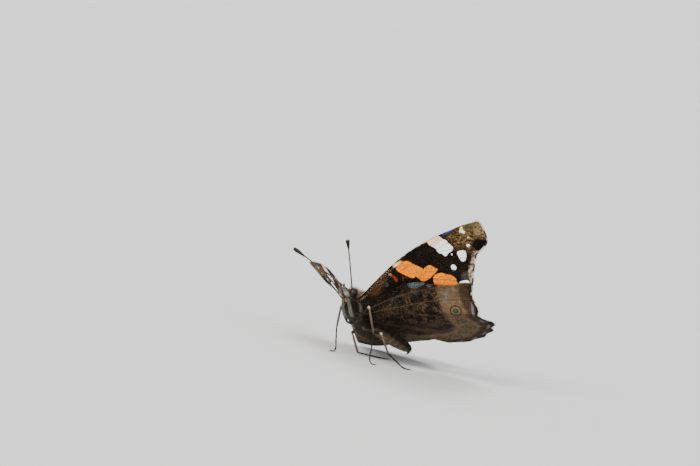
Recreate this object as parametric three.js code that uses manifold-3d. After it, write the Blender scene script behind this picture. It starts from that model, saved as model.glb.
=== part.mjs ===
import * as THREE from 'three';
import { mergeVertices } from 'three/addons/utils/BufferGeometryUtils.js';
import Module from 'manifold-3d';

// Red admiral butterfly at life size, standing with half-raised wings, in millimetres.
// Body frame: +X towards the head, +Y to the animal's left, +Z up through its back.

// Stance of the body over the floor
const PITCH = THREE.MathUtils.degToRad(37.2);
const ROLL = THREE.MathUtils.degToRad(19.9);
const BODY_HEIGHT = 9.0;

// Trunk: half lengths, half widths and half heights with the coat
const GAP = 0.3;
const LEAST_STEP = 0.003;
const THORAX_CENTRE = [1.0, 0, -0.45];
const THORAX_HALF = [3.6, 2.5, 3.15];
const THORAX_PROFILE = { fullest: 0.58, blunt: 0.42, rings: 22, sides: 26 };
const HEAD_CENTRE = [4.95, 0, 0.05];
const HEAD_HALF = [1.15, 1.3, 1.3];
const HEAD_PROFILE = { fullest: 0.5, blunt: 0.5, rings: 16, sides: 22 };
const EYE_CENTRE = [5.2, 1.35, 0.2];
const EYE_HALF = [0.95, 0.85, 1.12];
const ABDOMEN_ROOT = [-1.9, 0, -0.85];
const ABDOMEN_LENGTH = 11.2;
const ABDOMEN_RADIUS = 1.75;
const ABDOMEN_RISE = THREE.MathUtils.degToRad(16);
const ABDOMEN_PROFILE = { fullest: 0.62, blunt: 0.4, rings: 24, sides: 24 };

// Feelers, mouthparts
const FEELER_ROOT = [5.5, 0.55, 0.75];
const FEELER_LENGTH = 14.8;
const FEELER_SPREAD = THREE.MathUtils.degToRad(39.7);
const FEELER_LIFT = THREE.MathUtils.degToRad(6.2);
const FEELER_RADIUS = 0.26;
const CLUB_RADIUS = 0.52;
const CLUB_LENGTH = 2.9;
const PALP_PATH = [[5.1, 0.82, -0.85], [6.2, 0.88, -0.9], [7.05, 0.68, -0.45], [7.6, 0.5, 0.3]];
const PALP_RADIUS = 0.38;
const COIL_CENTRE = [6.3, 0, -0.95];
const COIL_RADIUS = 0.52;
const COIL_TUBE = 0.2;
const COIL_TURNS = 0.8;
const COIL_START = -0.62 * Math.PI;
const COIL_PITCH = 0.15;
const COIL_LIFT = 3;

// Legs: hip, knee and ankle in the body frame, heel and toe on the floor
const TARSUS_RADIUS = 0.27;
const LIMB_RADII = [
  [0.4, 0.42, 0.4], [0.38, 0.44, 0.3], [0.29, 0.34, 0.28], [0.26, TARSUS_RADIUS, TARSUS_RADIUS],
  [TARSUS_RADIUS, TARSUS_RADIUS, 0.24],
];
const JOINT_SWELL = 1.08;
const SOLE_CUT = 0.09;
const TOE_RUN = 1.5;
const FORELEG_PATH = [[1.7, 0.95, -3.25], [2.6, 1.15, -3.25], [3.8, 1.2, -2.5], [5.0, 0.95, -1.55]];
const FORELEG_RADIUS = 0.33;
const LEGS = {
  midleg_left: {
    hip: [0.5, 0.7, -2.9], coxa: [0.9, 1.7, -3.6], knee: [2.3, 5.2, -1.3], ankle: [-2.0, 5.1, -4.3],
    foot: [7.8, 1.4],
  },
  midleg_right: {
    hip: [0.5, -0.7, -2.9], coxa: [0.9, -1.7, -3.6], knee: [3.4, -4.1, -0.8], ankle: [0.8, -4.9, -4.4],
    foot: [-2.9, -4.6],
  },
  hindleg_left: {
    hip: [-0.9, 0.7, -2.7], coxa: [-1.3, 1.6, -3.5], knee: [-3.6, 4.3, -2.6], ankle: [-7.4, 4.4, -4.4],
    foot: [6.3, 9.4],
  },
  hindleg_right: {
    hip: [-0.9, -0.7, -2.7], coxa: [-1.3, -1.6, -3.5], knee: [-2.4, -4.8, -2.6], ankle: [-6.4, -5.8, -4.0],
    foot: [-5.2, 8.6],
  },
};

// Wings: U runs outward, V forward and W out of the upper face
const WING_ROOT = [3.02, 1.92, -0.66];
const WING_ANGLES = { left: [30.1, 9.3, 31.7], right: [27.9, 11.5, 35.5] };
const WING_HALF_THICKNESS = 0.25;
const VEIN_RIDGE = 0.13;
const VEIN_HALF_WIDTH = 0.36;
const VEIN_STEP = 1.65;
const OUTLINE_STEP = 1.15;
const MEMBRANE_STEP = 2.7;
const MEMBRANE_WOBBLE = 0.07;
const POINT_SPACING = { vein: 0.34, shoulder: 0.3, membrane: 1.15 };
const RIM_MARGIN = { vein: 0.45, membrane: 0.9 };
const ARCH = 0.8;
const ARCH_SPAN = 30;
const CHORD_ARCH = 0.01;
const CHORD_CREST = 7;

// Forewing outline and veins
const FORE_COSTA = [
  [-1.4, 0.7], [0, 1.2], [2.8, 4.1], [5.4, 6.75], [8, 9.15], [10.7, 11.35],
  [13.3, 13.15], [16, 14.85], [18.6, 16.35], [21.3, 17.8], [24, 19.05], [26.4, 19.75],
];
const FORE_MARGIN = [
  [27.3, 17.2], [27.4, 14.9], [26.2, 13.2], [24.9, 11.8], [24.2, 9.4], [23.6, 6.0], [23.1, 2.8], [22.7, 0.6],
  [21.6, -0.2], [15, -0.3], [8, -0.8], [3, -1.0], [-1.4, -0.9],
];
const FORE_VEINS = [
  [[-0.6, 0.7], [4.9, 5.2], [9, 8.7], [13.8, 12.6]],
  [[-0.6, 0.4], [5, 4.3], [9.5, 7.7], [14.8, 11.2]],
  [[11, 8.8], [14.2, 12.0], [17.4, 14.9]],
  [[13.4, 10.4], [17, 13.9], [20.2, 16.5]],
  [[14.8, 11.2], [20.6, 15.2], [25.7, 18.6]],
  [[18.8, 13.9], [23, 15.7], [26.4, 16.6]],
  [[14.8, 11.2], [20.8, 13.0], [26.6, 14.5]],
  [[14.5, 9.5], [19.6, 10.5], [24.0, 11.4]],
  [[13.8, 7.2], [18.8, 8.1], [23.3, 8.8]],
  [[12, 5.8], [17.7, 5.9], [22.8, 5.7]],
  [[9, 4.2], [15.7, 3.6], [22.4, 2.8]],
  [[-0.6, 0.1], [5, 2.4], [9, 4.2], [12, 5.8], [13.8, 7.2]],
  [[13.8, 7.2], [14.5, 9.5], [14.8, 11.2]],
  [[-0.6, -0.3], [7, 0.3], [15, 0.8], [22.0, 1.0]],
];

// Hindwing outline in polar steps of angle and reach about its root, and its veins
const HIND_ROOT = [1.3, -2.3];
const HIND_COSTA = [
  [-0.4, -1.7], [1.6, -1.2], [3.2, 0.8], [6, 3.0], [9, 4.6],
  [12.2, 5.35], [14.9, 5.2], [17.6, 5.1], [20, 5.35], [21.3, 6.2], [22.8, 6.5],
];
const HIND_REACH = [[18, 22.9], [8, 23.4], [-4, 24.0], [-17, 24.3], [-30, 24.0], [-42, 22.9], [-52, 20.6]];
const HIND_INNER = [[10.3, -14.2], [6.6, -9.8], [3.2, -5.2], [-0.4, -3.3]];
const SCALLOP_DEPTH = 0.28;
const SCALLOP_ANGLE = 10.5;
const HIND_DROP = 1.0;
const FOLD_START = -0.5;
const FOLD_LENGTH = 5;
const FOLD = { left: THREE.MathUtils.degToRad(48), right: THREE.MathUtils.degToRad(62) };
const CUP = 0.013;
const CUP_START = 6;
const HIND_VEINS = [
  [[0, -1.9], [5, 0.8], [10, 2.8], [16, 4.4], [21.6, 5.5]],
  [[0, -2.3], [5, -0.8], [9, 0.2], [16, 1.8], [23.0, 2.6]],
  [[9, 0.2], [11, -1.2], [18, -1.7], [24.4, -1.9]],
  [[11.3, -3.4], [18, -5.0], [24.4, -6.2]],
  [[10.4, -5.6], [17, -8.6], [23.0, -11.0]],
  [[9.6, -6.6], [15.5, -10.8], [20.8, -14.5]],
  [[7, -6.0], [12.5, -12], [17.8, -17.0]],
  [[0, -2.7], [4, -4.4], [7, -6.0], [9.6, -6.6], [10.4, -5.6]],
  [[0, -3.0], [5, -7.2], [10, -13], [14.6, -17.8]],
  [[11, -1.2], [11.3, -3.4], [10.4, -5.6]],
];

const STILL = new THREE.Matrix4();
const coat = (color, roughness = 0.85) => new THREE.MeshStandardMaterial({ color, roughness, metalness: 0 });
const MATERIALS = {
  fur: coat(0x5a4a3a),
  abdomen: coat(0x4a3a2c),
  eye: coat(0x3a1f16, 0.3),
  feeler: coat(0x1c1512, 0.6),
  palp: coat(0x77705e),
  tongue: coat(0x2a1a10, 0.5),
  leg: coat(0x8a7a5e, 0.7),
  forewing: coat(0x1d1512),
  hindwing: coat(0x33261c),
};

const solids = await Module();
solids.setup();

// Closed solid from a geometry, for adding and subtracting
function toSolid(geometry, matrix) {
  const shape = new THREE.BufferGeometry();
  shape.setAttribute('position', geometry.getAttribute('position').clone());
  shape.setIndex(geometry.index);
  shape.applyMatrix4(matrix);
  const merged = mergeVertices(shape, 1e-4);
  const corners = new Float32Array(merged.getAttribute('position').array);
  const triangles = [];
  const index = merged.index.array;
  for (let i = 0; i < index.length; i += 3) {
    const [a, b, c] = [index[i], index[i + 1], index[i + 2]];
    if (a !== b && b !== c && c !== a) {
      triangles.push(a, b, c);
    }
  }
  return new solids.Manifold(
    new solids.Mesh({ numProp: 3, vertProperties: corners, triVerts: new Uint32Array(triangles) }),
  );
}

// Geometry of the largest closed piece of a solid, without slivers
function fromSolid(solid, matrix) {
  const pieces = solid.simplify(LEAST_STEP).decompose().sort((a, b) => b.volume() - a.volume());
  const data = pieces[0].getMesh();
  const geometry = new THREE.BufferGeometry();
  geometry.setAttribute('position', new THREE.BufferAttribute(new Float32Array(data.vertProperties), 3));
  geometry.setIndex(new THREE.BufferAttribute(new Uint32Array(data.triVerts), 1));
  geometry.applyMatrix4(matrix);
  geometry.computeVertexNormals();
  return geometry;
}

// The stance and the body that every node hangs on
const butterfly = new THREE.Group();
butterfly.name = 'red_admiral';
const body = new THREE.Group();
body.rotation.set(ROLL, -PITCH, -Math.PI / 2, 'ZYX');
body.position.set(0, 0, BODY_HEIGHT);
butterfly.add(body);
butterfly.updateMatrixWorld(true);
const toBody = body.matrixWorld.clone().invert();

function place(name, geometry, material, position = [0, 0, 0], rotation = [0, 0, 0]) {
  const mesh = new THREE.Mesh(geometry, material);
  mesh.name = name;
  mesh.position.set(...position);
  mesh.rotation.set(...rotation, 'XYZ');
  mesh.updateMatrix();
  body.add(mesh);
  return mesh;
}

// Take grown neighbours away from a node, leaving a gap that follows them
function clear(mesh, cutters) {
  let solid = toSolid(mesh.geometry, mesh.matrix);
  for (const cutter of cutters) {
    solid = solid.subtract(cutter);
  }
  mesh.geometry = fromSolid(solid, mesh.matrix.clone().invert());
  return mesh;
}

const mirrored = ([x, y, z], side) => [x, side * y, z];

// Rounded body of revolution along X with its fullest part at a share of its length
function spindle(half, { fullest, blunt, rings, sides }) {
  const profile = [];
  for (let i = 0; i <= rings; i++) {
    const t = i / rings;
    const bow = t < fullest ? 1 - t / fullest : (t - fullest) / (1 - fullest);
    const along = Math.sin((Math.PI / 2) * bow);
    const radius = Math.pow(Math.max(0, 1 - Math.pow(along, 2)), blunt);
    const x = fullest + (t < fullest ? -fullest : 1 - fullest) * along;
    profile.push(new THREE.Vector2(i === 0 || i === rings ? 0 : radius, 2 * x - 1));
  }
  const geometry = new THREE.LatheGeometry(profile, sides);
  geometry.rotateZ(-Math.PI / 2);
  geometry.scale(...half);
  return geometry;
}

// Solid tube along a path with a radius for each share of its length
function taperedTube(curve, radiusAt, rings, sides) {
  const frames = curve.computeFrenetFrames(rings, false);
  const points = curve.getSpacedPoints(rings);
  const corners = [];
  const triangles = [];
  points.forEach((point, i) => {
    const radius = radiusAt(i / rings);
    for (let k = 0; k < sides; k++) {
      const turn = (2 * Math.PI * k) / sides;
      const corner = point.clone()
        .addScaledVector(frames.normals[i], radius * Math.cos(turn))
        .addScaledVector(frames.binormals[i], radius * Math.sin(turn));
      corners.push(...corner.toArray());
    }
  });
  for (let i = 0; i < rings; i++) {
    for (let k = 0; k < sides; k++) {
      const a = i * sides + k;
      const b = i * sides + ((k + 1) % sides);
      triangles.push(a, b, a + sides, b, b + sides, a + sides);
    }
  }
  const last = rings * sides;
  const tail = corners.length / 3;
  corners.push(...points[0].toArray(), ...points[rings].toArray());
  for (let k = 0; k < sides; k++) {
    const next = (k + 1) % sides;
    triangles.push(tail, next, k, tail + 1, last + k, last + next);
  }
  const geometry = new THREE.BufferGeometry();
  geometry.setAttribute('position', new THREE.Float32BufferAttribute(corners, 3));
  geometry.setIndex(triangles);
  return geometry;
}

const curveThrough = (points) => new THREE.CatmullRomCurve3(
  points.map((p) => new THREE.Vector3(...p)), false, 'centripetal',
);

// Straight blend between listed pairs of share and value
function blend(pairs, t) {
  for (let i = 1; i < pairs.length; i++) {
    if (t <= pairs[i][0]) {
      const [t0, v0] = pairs[i - 1];
      const [t1, v1] = pairs[i];
      return v0 + ((v1 - v0) * (t - t0)) / (t1 - t0);
    }
  }
  return pairs.at(-1)[1];
}

// Plane triangulation that keeps every triangle's circle free of other points
function triangulate(points) {
  const reach = 2000;
  const all = [...points, [-reach, -reach], [reach, -reach], [0, reach]];
  const circled = (a, b, c) => {
    const [ax, ay] = all[a];
    const [bx, by] = [all[b][0] - ax, all[b][1] - ay];
    const [cx, cy] = [all[c][0] - ax, all[c][1] - ay];
    const d = 2 * (bx * cy - by * cx);
    const b2 = bx * bx + by * by;
    const c2 = cx * cx + cy * cy;
    const x = (cy * b2 - by * c2) / d;
    const y = (bx * c2 - cx * b2) / d;
    return { corners: d > 0 ? [a, b, c] : [a, c, b], x: ax + x, y: ay + y, r2: x * x + y * y };
  };
  const n = points.length;
  let triangles = [circled(n, n + 1, n + 2)];
  points.forEach(([x, y], i) => {
    const edges = new Map();
    const kept = [];
    for (const triangle of triangles) {
      if ((x - triangle.x) ** 2 + (y - triangle.y) ** 2 >= triangle.r2) {
        kept.push(triangle);
        continue;
      }
      triangle.corners.forEach((a, k) => {
        const b = triangle.corners[(k + 1) % 3];
        if (!edges.delete(`${b},${a}`)) {
          edges.set(`${a},${b}`, [a, b]);
        }
      });
    }
    triangles = kept;
    for (const [a, b] of edges.values()) {
      triangles.push(circled(a, b, i));
    }
  });
  return triangles.map((t) => t.corners).filter((c) => Math.max(...c) < n);
}

function isInside([x, y], outline) {
  let inside = false;
  outline.forEach(([x1, y1], i) => {
    const [x2, y2] = outline[(i + 1) % outline.length];
    if ((y1 > y) !== (y2 > y) && x < x1 + ((x2 - x1) * (y - y1)) / (y2 - y1)) {
      inside = !inside;
    }
  });
  return inside;
}

function splinePoints(points, step) {
  const curve = new THREE.SplineCurve(points.map(([x, y]) => new THREE.Vector2(x, y)));
  const count = Math.max(2, Math.round(curve.getLength() / step));
  return curve.getSpacedPoints(count).map((p) => [p.x, p.y]);
}

function distanceToLine([x, y], line) {
  let best = Infinity;
  for (let i = 1; i < line.length; i++) {
    const [ax, ay] = line[i - 1];
    const [dx, dy] = [line[i][0] - ax, line[i][1] - ay];
    const share = THREE.MathUtils.clamp(((x - ax) * dx + (y - ay) * dy) / (dx * dx + dy * dy), 0, 1);
    best = Math.min(best, Math.hypot(x - ax - share * dx, y - ay - share * dy));
  }
  return best;
}

// Thin vane with raised veins, both faces triangulated alike and closed round the rim
function wingGeometry(outline, veins, shape, side) {
  const lines = veins.map((vein) => splinePoints(vein, VEIN_STEP));
  const closed = [...outline, outline[0]];
  const points = [...outline];
  const add = (point, spacing, margin) => {
    const free = points.every(([x, y]) => Math.hypot(point[0] - x, point[1] - y) > spacing);
    if (free && isInside(point, outline) && distanceToLine(point, closed) > margin) {
      points.push(point);
    }
  };
  for (const line of lines) {
    line.forEach((point) => add(point, POINT_SPACING.vein, RIM_MARGIN.vein));
  }
  for (const line of lines) {
    line.forEach(([x, y], i) => {
      const [ax, ay] = line[Math.max(0, i - 1)];
      const [bx, by] = line[Math.min(line.length - 1, i + 1)];
      const length = Math.hypot(bx - ax, by - ay);
      const [nx, ny] = [-(by - ay) / length, (bx - ax) / length];
      for (const k of [-1, 1]) {
        const shoulder = [x + k * nx * VEIN_HALF_WIDTH, y + k * ny * VEIN_HALF_WIDTH];
        add(shoulder, POINT_SPACING.shoulder, RIM_MARGIN.vein);
      }
    });
  }
  const row = MEMBRANE_STEP * Math.sqrt(0.75);
  for (let j = -12; j <= 12; j++) {
    for (let i = -2; i <= 12; i++) {
      const wobble = MEMBRANE_WOBBLE * Math.sin(12.9 * i + 7.3 * j);
      const point = [(i + (j % 2) / 2) * MEMBRANE_STEP + wobble, j * row + wobble];
      add(point, POINT_SPACING.membrane, RIM_MARGIN.membrane);
    }
  }
  const count = points.length;
  const corners = [];
  for (const face of [1, -1]) {
    for (const point of points) {
      const near = Math.min(...lines.map((line) => distanceToLine(point, line)));
      const ridge = VEIN_RIDGE * Math.max(0, 1 - near / VEIN_HALF_WIDTH);
      const [u, v, w] = shape(...point, face * (WING_HALF_THICKNESS + ridge));
      corners.push(v, side * u, w);
    }
  }
  const centre = (t) => [0, 1].map((k) => (points[t[0]][k] + points[t[1]][k] + points[t[2]][k]) / 3);
  const faces = triangulate(points).filter((t) => isInside(centre(t), outline));
  const rim = new Map();
  const triangles = [];
  const push = (a, b, c) => triangles.push(...(side > 0 ? [a, c, b] : [a, b, c]));
  for (const t of faces) {
    push(...t);
    push(t[0] + count, t[2] + count, t[1] + count);
    t.forEach((a, k) => {
      const b = t[(k + 1) % 3];
      if (!rim.delete(`${b},${a}`)) {
        rim.set(`${a},${b}`, [a, b]);
      }
    });
  }
  for (const [a, b] of rim.values()) {
    push(a, a + count, b);
    push(b, a + count, b + count);
  }
  const geometry = new THREE.BufferGeometry();
  geometry.setAttribute('position', new THREE.Float32BufferAttribute(corners, 3));
  geometry.setIndex(triangles);
  return geometry;
}

const archAt = (u) => ARCH * Math.sin((Math.PI * u) / ARCH_SPAN);

function foreShape(u, v, w) {
  return [u, v, w + archAt(u) - CHORD_ARCH * ((v - CHORD_CREST) ** 2 - CHORD_CREST ** 2)];
}

// The hindwing lies under the forewing in front and bends up behind it
function hindShape(fold) {
  const radius = FOLD_LENGTH / fold;
  return (u, v, w) => {
    const run = Math.max(0, FOLD_START - v);
    const angle = Math.min(run, FOLD_LENGTH) / radius;
    const past = Math.max(0, run - FOLD_LENGTH);
    const back = radius * Math.sin(angle) + past * Math.cos(angle);
    const up = radius * (1 - Math.cos(angle)) + past * Math.sin(angle);
    const cup = CUP * Math.max(0, u - CUP_START) ** 2 * Math.min(1, run / FOLD_LENGTH);
    const chord = CHORD_ARCH * ((Math.max(v, FOLD_START) - CHORD_CREST) ** 2 - CHORD_CREST ** 2);
    return [
      u,
      (run > 0 ? FOLD_START : v) - back + w * Math.sin(angle),
      archAt(u) - chord - HIND_DROP + up + cup + w * Math.cos(angle),
    ];
  };
}

function foreOutline() {
  return splinePoints([...FORE_COSTA, ...FORE_MARGIN], OUTLINE_STEP).reverse();
}

function hindOutline() {
  const [first, last] = [HIND_REACH[0][0], HIND_REACH.at(-1)[0]];
  const outer = [];
  for (let angle = first; angle >= last; angle -= SCALLOP_ANGLE / 4) {
    const wave = SCALLOP_DEPTH * Math.cos((2 * Math.PI * (angle - first + SCALLOP_ANGLE)) / SCALLOP_ANGLE);
    const reach = blend(HIND_REACH.map(([a, r]) => [-a, r]), -angle) + wave;
    const turn = THREE.MathUtils.degToRad(angle);
    outer.push([HIND_ROOT[0] + reach * Math.cos(turn), HIND_ROOT[1] + reach * Math.sin(turn)]);
  }
  return splinePoints([...HIND_COSTA, ...outer, ...HIND_INNER], OUTLINE_STEP).reverse();
}

// Trunk, and the same forms grown by the gap as cutters for what they carry
const grown = (half) => half.map((h) => h + GAP);
const thoraxForm = (half) => spindle(half, THORAX_PROFILE);
const headForm = (half) => spindle(half, HEAD_PROFILE);
const eyeForm = (half) => new THREE.SphereGeometry(1, 20, 14).scale(...half);
const shifted = (p) => new THREE.Matrix4().makeTranslation(...p);

const thorax = place('thorax', thoraxForm(THORAX_HALF), MATERIALS.fur, THORAX_CENTRE);
thorax.geometry = fromSolid(toSolid(thorax.geometry, STILL), STILL);
const thoraxCutter = toSolid(thoraxForm(grown(THORAX_HALF)), shifted(THORAX_CENTRE));

const abdomenAlong = [-Math.cos(ABDOMEN_RISE), 0, Math.sin(ABDOMEN_RISE)];
const abdomenForm = (extra) => {
  const half = [ABDOMEN_LENGTH / 2 + extra, ABDOMEN_RADIUS + extra, ABDOMEN_RADIUS + extra];
  return spindle(half, ABDOMEN_PROFILE);
};
const abdomenCentre = ABDOMEN_ROOT.map((p, i) => p + (abdomenAlong[i] * ABDOMEN_LENGTH) / 2);
const abdomenTurn = [0, ABDOMEN_RISE, 0];
const abdomen = place('abdomen', abdomenForm(0), MATERIALS.abdomen, abdomenCentre, abdomenTurn);
clear(abdomen, [thoraxCutter]);
const abdomenCutter = toSolid(abdomenForm(GAP), abdomen.matrix);

const head = clear(place('head', headForm(HEAD_HALF), MATERIALS.fur, HEAD_CENTRE), [thoraxCutter]);
const headCutter = toSolid(headForm(grown(HEAD_HALF)), shifted(HEAD_CENTRE));

// Eyes, feelers, palps and small brush legs on both sides
for (const [sideName, side] of [['left', 1], ['right', -1]]) {
  const eye = place(`eye_${sideName}`, eyeForm(EYE_HALF), MATERIALS.eye, mirrored(EYE_CENTRE, side));
  clear(eye, [headCutter, thoraxCutter]);
  const eyeCutter = toSolid(eyeForm(grown(EYE_HALF)), eye.matrix);

  const root = new THREE.Vector3(...mirrored(FEELER_ROOT, side));
  const along = new THREE.Vector3(
    Math.cos(FEELER_LIFT) * Math.cos(FEELER_SPREAD),
    side * Math.cos(FEELER_LIFT) * Math.sin(FEELER_SPREAD),
    Math.sin(FEELER_LIFT),
  );
  const feelerCurve = new THREE.LineCurve3(root, root.clone().addScaledVector(along, FEELER_LENGTH));
  const clubStart = 1 - CLUB_LENGTH / FEELER_LENGTH;
  const feelerRadius = (t) => blend([
    [0, FEELER_RADIUS * 1.3], [0.08, FEELER_RADIUS], [clubStart, FEELER_RADIUS],
    [clubStart + 0.09, CLUB_RADIUS], [0.97, CLUB_RADIUS * 0.92], [1, CLUB_RADIUS * 0.45],
  ], t);
  const feeler = taperedTube(feelerCurve, feelerRadius, 34, 10);
  clear(place(`antenna_${sideName}`, feeler, MATERIALS.feeler), [headCutter, eyeCutter]);

  const palpCurve = curveThrough(PALP_PATH.map((p) => mirrored(p, side)));
  const palpTaper = [[0, 0.8], [0.35, 1], [0.75, 0.85], [0.95, 0.5], [1, 0.25]];
  const palpRadius = (t) => PALP_RADIUS * blend(palpTaper, t);
  const palp = taperedTube(palpCurve, palpRadius, 12, 12);
  clear(place(`palp_${sideName}`, palp, MATERIALS.palp), [headCutter, eyeCutter]);

  const foreCurve = curveThrough(FORELEG_PATH.map((p) => mirrored(p, side)));
  const foreRadius = (t) => FORELEG_RADIUS * blend([[0, 0.9], [0.4, 1], [0.85, 0.8], [1, 0.45]], t);
  const foreleg = taperedTube(foreCurve, foreRadius, 12, 10);
  clear(place(`foreleg_${sideName}`, foreleg, MATERIALS.leg), [thoraxCutter, headCutter]);
}

// Tongue rolled up under the head
const coilPoints = [];
for (let i = 0; i <= 24; i++) {
  const t = i / 24;
  const turn = COIL_START - 2 * Math.PI * COIL_TURNS * t;
  const radius = COIL_RADIUS - COIL_PITCH * COIL_TURNS * t;
  const lift = Math.max(0, 0.12 - t) * COIL_LIFT;
  coilPoints.push([
    COIL_CENTRE[0] - radius * Math.cos(turn), COIL_CENTRE[1], COIL_CENTRE[2] - radius * Math.sin(turn) + lift,
  ]);
}
const coil = taperedTube(curveThrough(coilPoints), () => COIL_TUBE, 24, 8);
clear(place('proboscis', coil, MATERIALS.tongue), [headCutter]);

// One leg as straight limbs joined by round joints, each limb with a first, middle and last radius
function legGeometry(joints) {
  const parts = [];
  for (let i = 0; i < joints.length - 1; i++) {
    const [first, middle, last] = LIMB_RADII[i];
    const line = new THREE.LineCurve3(new THREE.Vector3(...joints[i]), new THREE.Vector3(...joints[i + 1]));
    const limb = taperedTube(line, (t) => blend([[0, first], [0.5, middle], [1, last]], t), 2, 8);
    const ball = new THREE.SphereGeometry(last * JOINT_SWELL, 7, 5).translate(...joints[i + 1]);
    parts.push(toSolid(limb, STILL), toSolid(ball, STILL));
  }
  return fromSolid(solids.Manifold.union(parts), STILL);
}

// Walking legs, cut level where they stand
const floor = toSolid(new THREE.BoxGeometry(60, 60, 10).translate(0, 0, -5), toBody);
for (const [name, leg] of Object.entries(LEGS)) {
  const lift = TARSUS_RADIUS - SOLE_CUT;
  const toe = new THREE.Vector3(leg.foot[0], leg.foot[1], lift).applyMatrix4(toBody);
  const ankle = new THREE.Vector3(...leg.ankle);
  const ankleWorld = ankle.clone().applyMatrix4(body.matrixWorld);
  const run = new THREE.Vector3(ankleWorld.x - leg.foot[0], ankleWorld.y - leg.foot[1], 0).setLength(TOE_RUN);
  const heel = new THREE.Vector3(leg.foot[0], leg.foot[1], lift).add(run).applyMatrix4(toBody);
  const joints = [leg.hip, leg.coxa, leg.knee, leg.ankle, heel.toArray(), toe.toArray()];
  const geometry = legGeometry(joints);
  clear(place(name, geometry, MATERIALS.leg), [thoraxCutter, floor]);
}

// Wings
for (const [sideName, side] of [['left', 1], ['right', -1]]) {
  const [rise, twist, sweep] = WING_ANGLES[sideName].map(THREE.MathUtils.degToRad);
  const turn = [side * rise, -twist, side * sweep];
  const root = mirrored(WING_ROOT, side);
  const fore = wingGeometry(foreOutline(), FORE_VEINS, foreShape, side);
  clear(place(`forewing_${sideName}`, fore, MATERIALS.forewing, root, turn), [thoraxCutter]);
  const hind = wingGeometry(hindOutline(), HIND_VEINS, hindShape(FOLD[sideName]), side);
  clear(
    place(`hindwing_${sideName}`, hind, MATERIALS.hindwing, root, turn),
    [thoraxCutter, abdomenCutter],
  );
}

// Centre the whole over the origin with its lowest point on the floor
const box = new THREE.Box3().setFromObject(butterfly, true);
const middle = box.getCenter(new THREE.Vector3());
body.position.set(-middle.x, -middle.y, BODY_HEIGHT - box.min.z);

export default butterfly;
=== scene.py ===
import math
from functools import reduce

import bpy
import numpy as np
from mathutils import Matrix, Vector
from mathutils.geometry import delaunay_2d_cdt


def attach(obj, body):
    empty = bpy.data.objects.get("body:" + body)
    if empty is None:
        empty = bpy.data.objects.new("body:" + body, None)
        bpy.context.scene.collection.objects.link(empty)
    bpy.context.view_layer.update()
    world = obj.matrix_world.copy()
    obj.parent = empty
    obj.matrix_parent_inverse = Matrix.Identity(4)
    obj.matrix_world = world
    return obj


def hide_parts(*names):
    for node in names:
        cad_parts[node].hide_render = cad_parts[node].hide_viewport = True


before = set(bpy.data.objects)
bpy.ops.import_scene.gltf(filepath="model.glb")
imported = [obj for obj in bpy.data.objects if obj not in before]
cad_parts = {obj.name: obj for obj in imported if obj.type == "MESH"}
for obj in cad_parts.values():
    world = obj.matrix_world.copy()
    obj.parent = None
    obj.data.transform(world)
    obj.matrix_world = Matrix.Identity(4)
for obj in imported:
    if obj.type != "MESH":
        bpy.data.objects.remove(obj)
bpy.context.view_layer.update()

# Lengths are in millimetres in the body frame (+X head, +Y left, +Z back) until they are placed.
MM = 0.001
SEED = 11
RNG = np.random.default_rng(SEED)
SIDES = {"left": 1, "right": -1}

# Stance and trunk, as in the part's source
PITCH = math.radians(37.2)
ROLL = math.radians(19.9)
BODY_POSITION = np.array([5.376, -5.243, 9.0])
THORAX_CENTRE = np.array([1.0, 0.0, -0.45])
THORAX_HALF = np.array([3.6, 2.5, 3.15])
HEAD_CENTRE = np.array([4.95, 0.0, 0.05])
HEAD_HALF = np.array([1.15, 1.3, 1.3])
EYE_CENTRE = np.array([5.25, 1.35, 0.22])
EYE_HALF = np.array([0.84, 0.81, 0.95])
ABDOMEN_ROOT = np.array([-1.9, 0.0, -0.85])
ABDOMEN_LENGTH = 11.2
ABDOMEN_RADIUS = 1.75
ABDOMEN_RISE = math.radians(16)
COAT_DEPTH = 0.4
FLOOR_CLEARANCE = 0.01

# Feelers, mouthparts and legs
FEELER_ROOT = np.array([5.5, 0.55, 0.75])
FEELER_LENGTH = 14.8
FEELER_SPREAD = math.radians(39.7)
FEELER_LIFT = math.radians(6.2)
FEELER_RINGS = 44.0
CLUB_LENGTH = 2.9
PALP_TUFTS = 2400
PALP_PATH = [[5.1, 0.82, -0.85], [6.2, 0.88, -0.9], [7.05, 0.68, -0.45], [7.6, 0.5, 0.3]]
COIL_CENTRE = [6.3, 0.0, -0.95]
COIL_RADIUS = 0.48
COIL_TURNS = 1.9
COIL_START = -0.62 * math.pi
COIL_RINGS = 70.0
BRUSH_TUFTS = 1500
FORELEG_PATH = [[1.7, 0.95, -3.2], [2.6, 1.15, -3.15], [3.8, 1.15, -2.4], [5.0, 0.95, -1.5]]
TOE_RUN = 1.5
TOE_LIFT = 0.15
LEGS = {
    "midleg_left": dict(
        hip=[0.5, 0.7, -2.9], coxa=[0.9, 1.7, -3.6], knee=[2.3, 5.2, -1.3], ankle=[-2.0, 5.1, -4.3], foot=[7.8, 1.4]),
    "midleg_right": dict(
        hip=[0.5, -0.7, -2.9], coxa=[0.9, -1.7, -3.6], knee=[3.4, -4.1, -0.8], ankle=[0.8, -4.9, -4.4],
        foot=[-2.9, -4.6]),
    "hindleg_left": dict(
        hip=[-0.9, 0.7, -2.7], coxa=[-1.3, 1.6, -3.5], knee=[-3.6, 4.3, -2.6], ankle=[-7.4, 4.4, -4.4],
        foot=[6.3, 9.4]),
    "hindleg_right": dict(
        hip=[-0.9, -0.7, -2.7], coxa=[-1.3, -1.6, -3.5], knee=[-2.4, -4.8, -2.6], ankle=[-6.4, -5.8, -4.0],
        foot=[-5.2, 8.6]),
}

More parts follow.
